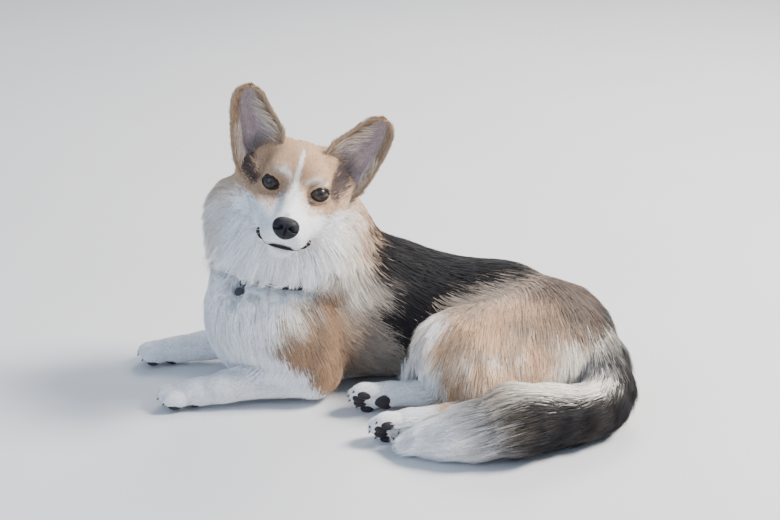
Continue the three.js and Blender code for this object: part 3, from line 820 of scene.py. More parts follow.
# Markings. Smooth masks over the body give each place a colour at the roots of the hair and one at the tips.
colours = {
    "tan": srgb(170, 129, 97), "tanTip": srgb(208, 173, 141),
    "orange": srgb(140, 106, 79), "orangeTip": srgb(170, 137, 109),
    "beige": srgb(112, 99, 90), "beigeTip": srgb(176, 163, 150),
    "white": srgb(236, 236, 238), "whiteTip": srgb(250, 250, 252),
    "cream": srgb(226, 214, 200), "creamTip": srgb(246, 240, 230),
    "black": srgb(11, 10, 14), "blackTip": srgb(22, 20, 26),
    "brown": srgb(74, 61, 54), "brownTip": srgb(118, 102, 91),
    "temple": srgb(44, 38, 40), "templeTip": srgb(74, 64, 66),
    "brow": srgb(232, 222, 212), "browTip": srgb(244, 238, 232),
    "earInside": srgb(170, 146, 144), "earInsideTip": srgb(196, 180, 178),
    "earRim": srgb(150, 122, 97), "earRimTip": srgb(190, 163, 137),
}


def ramp(x, low, high):
    t = np.clip((x - low) / (high - low), 0, 1)
    return t * t * (3 - 2 * t)


def wobble(points, size, seed=0):  # a smooth random value between about -1 and 1
    draw = np.random.default_rng(seed)
    total = 0
    for _ in range(5):
        total = total + np.sin(points @ (unit(draw.normal(size=3)) * 2 * pi / size) + draw.uniform(0, 2 * pi))
    return total / 2.4


def near(points, centre, radii, turned=None):  # 1 at a spot's middle, 0 at its edge and beyond
    local = (points if turned is None else turned.local(points)) - np.array(centre, float)
    return np.clip(1.25 - np.linalg.norm(local / np.array(radii, float), axis=-1), 0, 1) ** 0.8


def tailShare(points):
    path = tailCurve[::8]
    gaps = np.linalg.norm(points[:, None] - path[None], axis=-1)
    nearest = gaps.argmin(1)
    return nearest / (len(path) - 1), path[nearest]


def polyline(x, stops):
    xs, ys = zip(*stops)
    return np.interp(x, xs, ys)


markings = {  # their borders, as stops of a place and where the border lies there
    "shoulder": [(10, -62), (30, -82), (52, -106), (82, -142), (92, -136), (108, -112), (132, -88),
                 (150, -66), (157, -44), (170, -30)],
    "saddleFront": [(40, 20), (70, 0), (100, -12), (125, -6), (145, 4), (175, -2)],
    "saddleLow": [(-20, 46), (18, 50), (30, 76), (46, 106), (65, 120), (83, 133), (107, 141), (132, 146),
                  (160, 146), (200, 134), (235, 110)],
    "ridge": [(40, -70), (60, -80), (83, -103), (107, -95), (132, -81), (159, -50), (200, -42), (240, -70)],
    "faceMask": [(0, 8), (5, 2), (9, -2), (14, -9), (22, -17), (40, -20), (60, -18), (80, -26)],
    "blaze": [(-4, 6.0), (4, 3.6), (12, 2.6), (28, 2.3), (40, 1.8), (46, 0.4)],
}
spots = [  # chains of points on the head with their radii
    ("temple", 6, [(-44, 52, 34, 9), (-30, 50, 17, 11), (-12, 47, 3, 9)]),
    ("temple", 6, [(-42, -62, 16, 6), (-27, -61, 6, 8), (-9, -50, -1, 6)]),
    ("brow", 4, [(9, 14, 14, 2.5), (5, 22, 18, 3), (-1, 33, 14, 1.5)]),
    ("brow", 4, [(10, -9.5, 16, 2.5), (6, -18, 20, 4.5), (2, -27, 18, 1.5)]),
]


def tintOf(points, weights):
    root = np.tile(colours["white"], (len(points), 1))
    tip = np.tile(colours["whiteTip"], (len(points), 1))

    def paint(name, mask):
        nonlocal root, tip
        mask = np.clip(mask, 0, 1)[:, None]
        root = mixed(root, colours[name], mask)
        tip = mixed(tip, colours[name + "Tip"], mask)

    def share(*names):
        return shareOf(weights, *names)

    def patches(size, seed, low, high, tall=1.0):  # soft patches, drawn out upwards where tall is below 1
        return ramp(wobble(points * (1, 1, tall), size, seed), low, high)

    x, y, z = points.T
    ragged = wobble(points, 26, 1)
    fine = wobble(points, 9, 2)
    c = chest.local(points)
    h = head.local(points)
    trunk = share("torso", "arm_left", "arm_right", "neck")

    # the shoulder: tan, then grey-beige towards the saddle; grey-beige low on the belly is painted shade under
    # the body
    nearSide = chest.at(c[:, 0], np.abs(c[:, 1]), c[:, 2])[:, 0]  # the far side mirrors the near one
    front = polyline(z, markings["shoulder"])
    soft = 4 + 20 * ramp(z, 84, 116)
    edge = ramp((nearSide - front + ragged * soft * 0.5) / soft, -1, 1)
    outside = ramp(np.abs(c[:, 1]) + (z - 90) * 0.1, 22, 44)
    forearms = share("forearm_left", "forearm_right")
    creamy = ramp((nearSide - front + 24 + ragged * 8) / 16, -1, 1) * ramp(z, 84, 110) * outside
    paint("cream", trunk * creamy)
    paint("beige", trunk * creamy * 0.35 * ramp(z, 96, 116) * patches(40, 8, -0.2, 0.6))
    paint("orange", (trunk + forearms) * edge * outside * ramp(168 - z, 0, 12))
    paint("brown", trunk * edge * outside * 0.6 * patches(34, 18, 0.1, 0.9, 0.5))
    paint("beige", trunk * ramp(x + ragged * 7, -60, -22) * outside)
    paint("brown", trunk * outside * 0.45 * ramp(x, -50, -20) * patches(30, 19, 0, 0.8, 0.5))
    # grey-beige low on the belly, behind the chest: painted shade under the body
    paint("beige", trunk * ramp(x, -70, -30) * ramp(62 - z, 0, 24))
    # the saddle
    aboveLow = ramp(z - polyline(x, markings["saddleLow"]) + ragged * 3, -3, 4)
    pastRidge = ramp(y - polyline(x, markings["ridge"]) + ragged * 4, -4, 5) * ramp(z, 84, 104)
    saddle = ramp(x - polyline(z, markings["saddleFront"]) + ragged * 6, -5, 7)
    saddle = saddle * np.maximum(aboveLow, pastRidge)
    paint("black", (share("torso", "neck") + share("thigh_left", "thigh_right") * ramp(x, 58, 82)) * saddle)
    # thighs: tan, white in front, dark at the rump, cream breeches
    thigh = share("thigh_left", "thigh_right", "shank_left", "shank_right")
    paint("tan", thigh * (1 - saddle))
    paint("beige", thigh * (1 - saddle) * 0.55 * patches(60, 5, 0, 0.8))
    paint("brown", thigh * (1 - saddle) * 0.5 * patches(46, 15, 0.1, 0.9, 0.6))
    paint("cream", thigh * 0.45 * patches(30, 16, 0.2, 0.9, 0.5) * ramp(110 - z, 0, 30))
    frontal = 60 - 14 * ramp(z, 78, 112)
    paint("cream", thigh * ramp(frontal + fine * 3 - x, -4, 6) * ramp(128 - z, 0, 14))
    paint("white", thigh * ramp(frontal - 8 + fine * 3 - x, -4, 6) * ramp(108 - z, 0, 24))
    rear = share("thigh_left", "thigh_right", "torso", "tail")
    top = 138 - (x - 170) * 0.75  # the lower edge of the dark rump
    paint("brown", rear * ramp(x, 132, 176) * ramp(z - top + ragged * 6, -16, 10) * 0.85)
    behind = ramp(x + (z - 100) * 0.2 + ragged * 5, 236, 258)
    paint("black", rear * behind * ramp(z - top + ragged * 5, -6, 18))
    paint("cream", thigh * ramp(x, 178, 204) * ramp(98 - z + ragged * 5, -6, 10))
    # legs and feet
    lower = share("forearm_left", "forearm_right", "forepaw_left", "forepaw_right")
    paint("orange", 0.35 * lower * ramp(x + z, -62, -30))
    feet = share("hindfoot_left", "hindfoot_right")
    paint("tan", feet * ramp(x + fine * 3, 44, 62))
    paint("white", feet * ramp(52 - x + fine * 3, -8, 8))
    # tail
    along, axis = tailShare(points)
    above = unit(points - axis) @ (0, 0.34, 0.94)
    tail = share("tail")
    paint("black", tail)
    paint("brown", tail * 0.22 * patches(44, 7, 0, 0.9))
    paint("cream", tail * ramp(above + fine * 0.08 - 0.9 * ramp(0.42 - along, 0, 0.14), 0.5, 0.76)
          * ramp(0.8 - along, 0, 0.14))
    paint("beige", tail * 0.3 * ramp(along + ragged * 0.03, 0.66, 0.84))
    paint("white", tail * ramp(along + ragged * 0.025 - 0.03 * above, 0.735, 0.92))
    # neck and ruff: white in front, tan at the sides, darker on the nape
    neck, face = share("neck"), share("head")
    f, l, u = h.T
    nearEdge = ramp(x + 0.15 * (z - 200) + ragged * 4, -44, -24) * 0.8
    nape = ramp(-64 - f + ragged * 4, -8, 8)
    paint("cream", neck * ramp(x, -70, -40) * 0.8)
    paint("tan", neck * np.maximum(nearEdge, nape) * ramp(z + ragged * 8, 136, 176))
    farEdge = ramp(-l + u * 0.5 + ragged * 4, 38, 58) * ramp(u, -62, -34)
    farEdge = (neck + face) * np.maximum(farEdge, near(points, (-200, -95, 214), (28, 60, 26)))
    paint("cream", farEdge)
    paint("tan", farEdge * 0.5)
    paint("brown", neck * ramp(x, -38, -14) * ramp(170 - z, 0, 20) * 0.8)
    paint("black", (neck + share("torso")) * ramp(x + ragged * 5, -28, -10) * ramp(z, 132, 150))
    # head
    border = polyline(np.abs(l), markings["faceMask"])
    border = np.where(f > 30, border + (f - 30) * 0.55, border)
    paint("tan", face * ramp(u - border + fine * 1.2, -2.5, 2.5))
    paint("tan", face * ramp(-44 - f + ragged * 3, -6, 8) * ramp(u, -70, -40))
    blaze = ramp(polyline(u, markings["blaze"]) - np.abs(l + 0.6) + fine * 0.4, -0.9, 0.9)
    paint("white", face * blaze * ramp(46 - u, 0, 5) * ramp(f, -30, -16))
    for name, softness, chain in spots:
        links = [Limb(head.at(*a[:3]), head.at(*b[:3]), a[3], b[3]) for a, b in zip(chain, chain[1:])]
        outside = np.min([link.distance(points) for link in links], 0)
        paint(name, face * ramp(-outside + fine * 0.8, -softness, softness * 0.5))
    paint("temple", 0.5 * face * near(points, (60, -2, -12), (7, 5, 5), head))
    return root, tip


report("forms and finishes")
skinMesh = makeSkin()
skinPoints = pointsOf(skinMesh)
report(f"skin, {len(skinMesh.polygons)} faces")
skinDistances = partDistances(skinPoints)
skinWeights = np.exp(-np.clip(skinDistances - skinDistances.min(1, keepdims=True), 0, 60) / 5)
skinWeights /= skinWeights.sum(1, keepdims=True)
skinNormals = slopeOf(bodyField, skinPoints)[1]
skinDepth = skinWeights @ [part["coat"]["depth"] for part in parts.values()]
skinOuter = skinPoints + skinNormals * skinDepth[:, None]
skinRoot, skinTip = tintOf(skinOuter, skinWeights)
# the skin takes the mean of the root and tip colours, lifted above the roots' colour as painted light against
# the shade between the tufts
setTint(skinMesh, (skinRoot + skinTip) / 2)
covered = ("torso", "neck", "head", "forearm", "forepaw", "upper", "hind", "shank", "thigh", "tail")
skinNodes = [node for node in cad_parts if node.split("_")[0] in covered]
setPoints(skinMesh, toFrame(skinPoints))
skinMesh.name = "skin"
skin = placed("skin", skinMesh, "skin", skinNodes)
unwrap(skin)
report("skin unwrapped")


# Eyes, with the iris painted by the angle from the line of sight
eyeLook = {"pupil": 0.32, "iris": 0.62, "limbus": 0.72, "bulge": 1.0}
eyeShades = {
    "pupil": srgb(5, 4, 5), "iris": srgb(58, 39, 30), "outer": srgb(34, 23, 19),
    "limbus": srgb(12, 9, 9), "white": srgb(28, 22, 22),
}


def makeEye(name, eye):
    bm = bmesh.new()
    bmesh.ops.create_uvsphere(bm, u_segments=48, v_segments=36, radius=layout["eyeRadius"])
    turn = Matrix(np.stack([eye.l, eye.u, eye.f]).T).to_4x4()
    for v in bm.verts:
        angle = Vector(v.co).angle(Vector((0, 0, 1)))
        v.co *= 1 + eyeLook["bulge"] / layout["eyeRadius"] * max(0, 1 - (angle / eyeLook["limbus"]) ** 2)
    bmesh.ops.transform(bm, matrix=Matrix.Translation(eye.origin) @ turn, verts=bm.verts)

    def tint(points):
        local = unit(eye.local(points))
        angle = np.arccos(np.clip(local[:, 0], -1, 1))
        stops = [(0, "pupil"), (eyeLook["pupil"] - 0.03, "pupil"), (eyeLook["pupil"] + 0.03, "iris"),
                 (eyeLook["iris"] - 0.1, "outer"), (eyeLook["limbus"], "limbus"), (0.95, "white"), (2, "white")]
        return between(angle, [a for a, _ in stops], [eyeShades[shade] for _, shade in stops])

    pieceOf("eyeball_" + name, bm, "eye", ["eye_" + name], tint)


lidRim = {  # its section: how far out from the opening, and how far from the eyeball's middle
    "section": np.array([(-1.0, 11.0), (-0.5, 11.8), (0.0, 12.4), (0.4, 12.8), (0.8, 12.95), (1.2, 12.75),
                         (1.5, 12.0), (1.2, 10.6), (0.2, 10.2)]),
    "radius": 12.5, "sunkAtCorners": 0.48,
}


def makeLidRim(name, eye):  # the dark, moist edge of the lids: a closed rim round the opening
    count = len(lidRim["section"])

    def place(across, along):
        turn = across * 2 * pi
        out, radius = lidRim["section"][np.round(along * count).astype(int) % count].T
        l, u = openingOf(turn)
        wide = np.hypot(l, u)
        angle = np.arcsin(np.minimum(wide / layout["eyeRadius"], 0.99)) + out / lidRim["radius"]
        sunk = lidRim["sunkAtCorners"] * ramp(np.abs(np.cos(turn)), 0.9, 1.0) * (out > -0.6)
        local = np.stack([np.cos(angle), np.sin(angle) * l / wide, np.sin(angle) * u / wide], -1)
        return eye.origin + (local * (radius - sunk)[:, None]) @ eye.axes

    pieceOf("lids_" + name, sheetOf(72, count, place), "rim")


for name, eye in eyes.items():
    makeEye(name, eye)
    makeLidRim(name, eye)
report("eyes and lids")

# Nose pad with its nostrils
noseForms = [
    Egg(nose.at(0, 0, 3), (9, 13.2, 8), nose),
    Egg(nose.at(0, 6.6, -1.5), (8, 8, 8.6), nose),
    Egg(nose.at(0, -6.6, -1.5), (8, 8, 8.6), nose),
    Egg(nose.at(-1, 0, -7.6), (8, 7.8, 6.4), nose),
]
nostrils = [
    form for side in (1, -1) for form in (
        Egg(nose.at(8.8, side * 5.8, 0), (4.4, 2.7, 2.4), nose),
        Egg(nose.at(6.4, side * 10.3, -2.8), (4.6, 3.8, 0.9), nose),
        Egg(nose.at(10.8, 0, -7), (3.6, 0.7, 8), nose),
    )
]
noseBm = blobOf(lambda p: blended(noseForms, p, 6, nostrils, 1.6), nose.at(-1), 6, 22)
pieceOf("nose_pad", noseBm, "nose", ["nose"])
report("nose")

# Lips: a dark line along the mouth, which shows at its corners and in front
centred = np.abs(np.linspace(-1, 1, len(lipWay)))
lipRadii = np.interp(centred, (0, 0.2, 0.34, 0.66, 0.76, 0.92, 1), (1.9, 1.6, 0.3, 0.3, 2.8, 4.2, 2.0))
lipLift = np.interp(centred, (0, 0.6, 0.8, 1), (0.3, 0.2, 1, 1))[:, None]
pieceOf("lips", tubeOf(lipWay + lipsOut * lipLift, lipRadii, head.u, 10), "rim")
whiskerSizes = {"count": 8, "length": (14, 27), "radius": 0.2}  # count is on each side


def makeWhiskers():
    draw = np.random.default_rng(5)
    pieces = []
    for side in (1, -1):
        for k in range(whiskerSizes["count"]):
            base = head.at(40 + 5 * (k % 4), 0, -34 - 4.5 * (k // 4) - 1.2 * (k % 4))
            far = reach(headField, base, (head.l * side)[None], 40)[0]
            length = draw.uniform(*whiskerSizes["length"])
            s = np.linspace(0, 1, 9)[:, None]
            away = unit(head.l * side + head.f * draw.uniform(0.1, 0.5) + head.u * draw.uniform(-0.35, 0.1))
            path = base + head.l * side * (far - 1) + away * s * length + (head.u * -5 - head.f * 9) * s**2
            pieces.append(tubeOf(path, whiskerSizes["radius"] * (1.05 - s[:, 0]), head.u, 5))
    pieceOf("whiskers", joinedBm(pieces), "whisker")


makeWhiskers()
report("lips and whiskers")


# Paws: pads and claws
padSizes = {"toeAt": (3, 0, -6.2), "toe": (8.6, 5.8, 6.2), "soleAt": (7, 0, -10), "sole": (10.5, 11.5, 7)}
clawSizes = {"at": 11, "length": 7, "drop": 5, "radius": 1.9}
feet = {"fore_" + name: leg["foot"] for name, leg in foreLegs.items()}
feet.update({"hind_" + name: leg["foot"] for name, leg in hindLegs.items()})


def toePads(foot):
    return [Egg(toe.at(*padSizes["toeAt"]), padSizes["toe"], toe) for toe in toesOf(foot)]


def makePads(name, foot):
    pieces = [blobOf(pad.distance, pad.centre, 4, 14) for pad in toePads(foot)]
    lobes = [Egg(foot.at(9, 0, -10), (9.5, 9.5, 6.5), foot), Egg(foot.at(4, 6, -9.5), (7, 6, 6.5), foot),
             Egg(foot.at(4, -6, -9.5), (7, 6, 6.5), foot)]
    pieces.append(blobOf(lambda p: blended(lobes, p, 6), foot.at(*padSizes["soleAt"]), 4, 20))
    bm = joinedBm(pieces)
    for v in bm.verts:
        v.co.z = max(v.co.z, floorGap)
    pieceOf("pads_" + name, bm, "pad")


def makeClaws(name, foot):
    pieces = []
    for toe in toesOf(foot):
        s = np.linspace(0, 1, 7)
        path = toe.at(clawSizes["at"] + clawSizes["length"] * s, 0, -0.5 - clawSizes["drop"] * s**1.6)
        radii = clawSizes["radius"] * (1 - s**1.7) + 0.15
        pieces.append(tubeOf(path, radii, foot.u, 10, 1.25))
    pieceOf("claws_" + name, joinedBm(pieces), "claw")


for name, foot in feet.items():
    makePads(name, foot)
    makeClaws(name, foot)
report("pads and claws")

# Ears: leaves sunk to a cup, with a rounded rim
earSizes = {
    "inner": [(-31, 24, 33), (-30, 29, 56), (-36, 44, 71), (-41, 61, 87), (-43, 76, 92)],
    "outer": [(-29, 56, -22), (-29, 76, 4), (-35, 88, 36), (-40, 94, 62), (-42, 94, 76), (-43, 88, 87),
              (-43, 76, 92)],
    "thickness": 3.6, "cup": 20, "inset": 0.03, "share": 0.965, "fullWidth": 34,
}
earInner, earOuter = smoothCurve(earSizes["inner"]), smoothCurve(earSizes["outer"])
earGrid = [a.ravel() for a in np.meshgrid(np.linspace(0, 1, 41), np.linspace(0, 1, 41))]


def earPoint(side, s, t, back):  # s from the inner edge to the outer, t from the base to the tip
    s, t = earSizes["inset"] + (1 - 2 * earSizes["inset"]) * s, t * earSizes["share"]
    p = mixed(alongCurve(earInner, t), alongCurve(earOuter, t), s[:, None])
    cup = earSizes["cup"] * np.sin(pi * np.clip(s, 0, 1)) ** 0.8 * np.clip(1 - t, 0, 1) ** 0.45
    ridges = 0.9 * np.sin(pi * s) * np.sin(7 * pi * s + 1) * ramp(t, 0, 0.2) * ramp(1 - t, 0, 0.5)
    return head.at(p[:, 0] - cup - back + ridges * (back <= 0), side * p[:, 1], p[:, 2])


def makeEar(name, side):
    def place(across, along):
        turn = across * 2 * pi
        s = 0.5 - 0.5 * np.cos(turn)
        full = np.sign(np.sin(turn)) * np.abs(np.sin(turn)) ** 0.6
        back = -earSizes["thickness"] / 2 * full * (1 - 0.5 * along)
        return earPoint(side, s, 1 - (1 - along) ** 1.4, back)

    def tint(points):
        return earTint(side, points)[0]

    shell = sheetOf(56, 44, place)
    return pieceOf("ear_" + name + "_shell", shell, "skin", ["ear_" + name], tint)


def earTint(side, points):  # bare pinkish inside, with tan backs and rims
    f, l, u = head.local(points).T
    l = l * side
    grid = head.local(earPoint(1, *earGrid, np.zeros(len(earGrid[0]))))
    tree = treeOf(grid)
    which = np.array([tree.find(p)[1] for p in np.stack([f, l, u], -1).tolist()])
    behind = f < grid[which, 0] - 0.4
    s, t = earGrid[0][which], earGrid[1][which]
    edge = np.minimum(s, 1 - s) * (1.2 - t)
    rim = np.maximum(ramp(0.13 - edge, 0, 0.06), np.maximum(ramp(t, 0.86, 0.95), ramp(0.2 - t, 0, 0.1)))
    rim = np.where(behind, 1, rim)[:, None]
    # painted shade deep in the cup: low down and away from the edges, the inside runs toward the dark temple
    # colour
    cupShade = (ramp(0.42 - t, 0, 0.25) * ramp(np.minimum(s, 1 - s), 0.1, 0.35))[:, None]
    made = []
    for end, darkened in (("", 0.8), ("Tip", 0.5)):
        inside = mixed(colours["earInside" + end], colours["temple" + end], cupShade * darkened)
        outside = mixed(colours["earRim" + end], colours["tan" + end], behind[:, None] * 0.7)
        made.append(mixed(inside, outside, rim))
    return made


earSides = {"left": 1, "right": -1}
for name, side in earSides.items():
    unwrap(makeEar(name, side))
report("ears")

# Collar, ring and tag keep their solids and get their finishes.
for node, finish in (("collar", "collar"), ("collar_ring", "metal"), ("tag", "metal")):
    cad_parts[node].data.materials.clear()
    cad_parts[node].data.materials.append(finishes[finish])
report("collar")

# The lie of the coat, and its length, depth and width over the skin
ruffCentre = head.at(20, 0, -20)
hipTop = np.array([150.0, -16.0, 176.0])
backwards, chestwards = np.array([0.8, 0, -0.55]), np.array([0.12, 0, -1.0])


def lieOf(points, weights):
    lie = np.zeros_like(points)
    c = chest.local(points)
    along, axis = tailShare(points)
    place = np.clip((along * (len(tailCurve) - 1)).astype(int), 1, len(tailCurve) - 2)
    tailwards = unit(tailCurve[place + 1] - tailCurve[place - 1])
    chestDown = ramp(c[:, 0], 20, 85)[:, None]
    armwards = np.array([0.55, 0, -0.85]) * (1 - 0.5 * chestDown) + np.array([0, 0, -0.5]) * chestDown
    flows = {
        "head": unit(points - nose.at(-2, 0, -2)),
        "neck": unit(unit(points - ruffCentre) + (-0.1, 0, -0.8)),
        "tail": unit(tailwards + unit(points - axis) * 0.14 + (0, 0, -0.06)),
        "torso": unit(backwards * (1 - chestDown) + chestwards * chestDown),
    }
    for side, leg in foreLegs.items():
        flows["arm_" + side] = unit(armwards)
        flows["forearm_" + side] = unit(np.array(leg["wrist"]) - leg["elbow"]) + (0.15, 0, -0.35)
        flows["forepaw_" + side] = leg["foot"].f + (0, 0, -0.15)
    for side, leg in hindLegs.items():
        _, knee, hock = jointsOf(leg)
        fringe = ramp(84 - points[:, 0], 0, 30)[:, None]
        flows["thigh_" + side] = unit(unit(points - hipTop) + (0, 0, -0.45) + fringe * (-0.9, 0, -0.2))
        flows["shank_" + side] = unit(hock - knee) * 0.4 + (0, 0, -0.9)
        flows["hindfoot_" + side] = leg["foot"].f
    for i, name in enumerate(partNames):
        lie += weights[:, i : i + 1] * flows[name]
    return lie


lipTree = treeOf(lipWay)


def lipGaps(points):  # how far points lie from the mouth line, and from which place of it
    gap, which = np.full(len(points), 99.0), np.zeros(len(points), int)
    for i in np.nonzero(np.linalg.norm(points - head.at(50, 0, -45), axis=1) < 60)[0]:
        _, which[i], gap[i] = lipTree.find(points[i])
    return gap, which


def coatOf(points, weights):
    specs = [parts[name]["coat"] for name in partNames]
    keys = ("length", "depth", "width", "free")
    look = {key: weights @ np.array([spec[key] for spec in specs]) for key in keys}
    f, l, u = head.local(points).T
    face, neck, torso, tail = (shareOf(weights, name) for name in ("head", "neck", "torso", "tail"))
    thigh = shareOf(weights, "thigh_left", "thigh_right")
    forearm = shareOf(weights, "forearm_left", "forearm_right")

    def change(mask, **values):
        for key, value in values.items():
            look[key] = mixed(look[key], value, np.clip(mask, 0, 1))

    cheek = face * ramp(np.abs(l), 34, 56) * ramp(-f, -6, 26) * ramp(-u, -18, 12)
    change(cheek, length=24, depth=6, width=1.05, free=0.08)
    change(face * ramp(-u, 44, 62) * ramp(-f, -40, 0), length=18, depth=4, width=1.0, free=0.05)
    change(face * ramp(f, 26, 46), length=6, depth=1.7, width=0.8)
    change(face * ramp(f, 56, 66), length=4, depth=1.1, width=0.7)
    change(face * ramp(24 - eyeGaps(points), 0, 8), length=5, depth=1.4, width=0.75)
    change(face * ramp(10 - lipGaps(points)[0], 0, 4), length=2.6, depth=0.8)
    x, y, z = points.T
    change(thigh * ramp(x, 176, 206) * ramp(100 - z, 0, 20), length=46, depth=7, free=0.12)
    change(thigh * ramp(76 - x, 0, 12), length=50, depth=6, free=0.16)
    change(thigh * ramp(64 - x, 0, 12) * ramp(z, 56, 70) * ramp(106 - z, 0, 16), length=56, free=0.35)
    change(torso * ramp(chest.local(points)[:, 0], 50, 90), length=40, depth=6, free=0.05)
    along, _ = tailShare(points)
    radius = np.interp(along, np.linspace(0, 1, len(tailRadii)), tailRadii)
    change(tail, depth=radius * 0.16)
    change(tail * ramp(0.16 - along, 0, 0.08), length=40)
    change(tail * ramp(along, 0.88, 0.98), length=26)
    change(neck * ramp(u, -50, -30) * ramp(np.abs(l), 30, 50), length=26, depth=5)
    change(neck * ramp(x, -60, -20), length=34, depth=6)
    change((torso + neck) * ramp(70 - z, 0, 20) * ramp(-x, 90, 120), length=26, depth=5)
    below = ramp(collarGap(points), -18, -3) * ramp(-collar.local(points)[:, 2], -2, 4)
    change(below, length=12, depth=3, free=0.06)
    change(forearm * ramp(x, -160, -120) * ramp(28 - z, 0, 14), length=22, free=0.14)
    return look


skinLie = lieOf(skinPoints, skinWeights)
skinLook = coatOf(skinPoints, skinWeights)
skinMesh.calc_loop_triangles()
triangles = readRows(skinMesh.loop_triangles, "vertices", 3, np.int32)
triangleLoops = readRows(skinMesh.loop_triangles, "loops", 3, np.int32)
skinUv = readRows(skinMesh.uv_layers["OFBake"].data, "uv", 2)
skinTree = BVHTree.FromPolygons(skinPoints.tolist(), triangles.tolist())
report("coat's lie and length")


# Tufts: closed, tapered strands of three sides, made from arrays. A tuft of two stops has its widest place at
# the root; a longer one starts and ends in a point.
def tuftFaces(first, rings):  # the faces of one tuft, with each corner's place on its patch and its normal
    last = first + 3 * (rings - 1)
    faces, patch, turned = [], [], []
    for j in range(3):
        here, there = j, (j + 1) % 3
        left, right = j / 3, (j + 1) / 3
        a, b, tip = ((here, there, 1), (here, there, 1), (5, 3, 4))[j]
        if first:
            faces.append((0, first + here, first + there))
            patch += [((left + right) / 2, 0), (left, 0.3), (right, 0.3)]
            turned += [tip, a, b]
        for i in range(rings - 1):
            corners = [first + 3 * (i + up) + at for up in (0, 1) for at in (here, there)]
            low, high = 0.3 + 0.4 * i / rings, 0.3 + 0.4 * (i + 1) / rings
            faces += [(corners[0], corners[2], corners[1]), (corners[1], corners[2], corners[3])]
            patch += [(left, low), (left, high), (right, low), (right, low), (left, high), (right, high)]
            turned += [a, a, b, b, a, b]
        faces.append((last + here, last + 3, last + there))
        patch += [(left, 0.7), ((left + right) / 2, 1), (right, 0.7)]
        turned += [a, tip, b]
    if not first:
        faces.append((0, 1, 2))
        patch += [(0, 0), (0.5, 0.1), (1, 0)]
        turned += [3, 4, 5]
    return np.array(faces), np.array(patch), turned


def tuftMesh(name, spine, normals, widths, tints, uv):
    count, stops = spine.shape[:2]
    first = 0 if stops == 2 else 1  # the first stop with a ring
    rings = stops - 1 - first
    ahead = np.gradient(spine, axis=1) if stops > 2 else np.repeat(spine[:, 1:] - spine[:, :1], 2, 1)
    ahead = unit(ahead[:, first:-1])
    side = unit(np.cross(ahead, normals[:, None]))
    over = np.cross(side, ahead)
    spokes = np.stack([side - over * 0.2, over * 0.36, -side - over * 0.2], 2)
    rim = spine[:, first:-1, None] + spokes * widths[:, :, None, None] / 2
    points = [spine[:, :1]] * first + [rim.reshape(count, rings * 3, 3), spine[:, -1:]]
    shades = [tints[:, :1]] * first + [np.repeat(tints[:, first:-1], 3, axis=1), tints[:, -1:]]
    points, shades = (np.concatenate(rows, 1) for rows in (points, shades))
    side, over = side[:, 0], over[:, 0]
    leanings = np.stack([
        unit(side * coatLook["roundness"] + normals), normals, unit(-side * coatLook["roundness"] + normals),
        unit(side * 0.5 - over), unit(-over), unit(-side * 0.5 - over),
    ], 1)  # for the corners at the left, top and right, and the same on the underside
    faces, patch, turned = tuftFaces(first, rings)
    index = (np.arange(count)[:, None, None] * points.shape[1] + faces[None]).reshape(-1, 3)
    points = points.reshape(-1, 3)
    points[:, 2] = np.maximum(points[:, 2], floorGap)
    mesh = bpy.data.meshes.new(name)
    mesh.vertices.add(len(points))
    mesh.loops.add(index.size)
    mesh.polygons.add(len(index))
    writeRows(mesh.vertices, "co", toFrame(points))
    writeRows(mesh.loops, "vertex_index", index, np.int32)
    writeRows(mesh.polygons, "loop_start", np.arange(0, index.size, 3), np.int32)
    mesh.update(calc_edges=True)
    layer = mesh.uv_layers.new(name="OFBake")
    writeRows(layer.data, "uv", uv[:, None] + ((patch - 0.5) * coatLook["patch"])[None])
    setTint(mesh, shades.reshape(-1, 3))
    mesh.validate()
    placed(name, mesh, "coat")
    mesh.normals_split_custom_set(leanings[:, turned].reshape(-1, 3).astype(np.float32))


def scatter(draw, corners, share, count):  # roots spread over triangles, as triangle numbers and weights
    area = np.linalg.norm(np.cross(corners[:, 1] - corners[:, 0], corners[:, 2] - corners[:, 0]), axis=1) / 2
    walked = np.cumsum(area * share)
    picks = (np.arange(count) + draw.uniform(size=count)) / count * walked[-1]
    chosen = np.minimum(np.searchsorted(walked, picks), len(corners) - 1)
    a, b = draw.uniform(size=(2, count))
    fold = a + b > 1
    a[fold], b[fold] = 1 - a[fold], 1 - b[fold]
    return chosen, np.stack([1 - a - b, a, b], -1)


def overSkin(point, low, high):  # the point at a height over the skin between two limits, the normal and face
    place, normal, face, _ = skinTree.find_nearest(point)
    height = (point - place).dot(normal)
    return point + normal * (min(max(height, low), high) - height), normal, face


def layStrands(spine, lie, stops, length, stand, free):  # lays each strand along the curved skin
    faceLie = unit(skinLie[triangles].mean(1))
    for k in range(len(spine)):
        way = Vector(lie[k])
        here = Vector(spine[k, 0])
        for i in range(1, len(stops)):
            step = length[k] * (stops[i] - stops[i - 1])
            low = stand[k] * (0.7 if i < len(stops) - 1 else 0.6)
            high = stand[k] * 1.1 + free[k] * length[k] * stops[i] ** 2
            here, normal, face = overSkin(here + way * step, low, high)
            spine[k, i] = here
            way = (way + 0.6 * Vector(faceLie[face])).normalized()
            way = (way - normal * way.dot(normal)).normalized()
    return spine


def gather(draw, spine, roots, lengths, amount, apart):  # tips of near tufts lean together into locks
    count = max(int(len(roots) / apart), 1)
    leaders = draw.choice(len(roots), count, replace=False)
    tree = treeOf(roots[leaders])
    owner = leaders[np.array([tree.find(p)[1] for p in roots.tolist()])]
    close = np.linalg.norm(roots[owner] - roots, axis=1) < coatLook["lockReach"]
    owner = np.where(close, owner, np.arange(len(roots)))
    stops = spine.shape[1] - 1
    long = np.clip(lengths / 30, 0.3, 1)
    for i in range(1, stops + 1):
        pull = amount * (i / stops) ** 1.3 * long * draw.uniform(0.5, 1.1, len(roots))
        spine[:, i] = mixed(spine[:, i], spine[owner, i], np.minimum(pull, 0.9)[:, None])
    return spine, owner


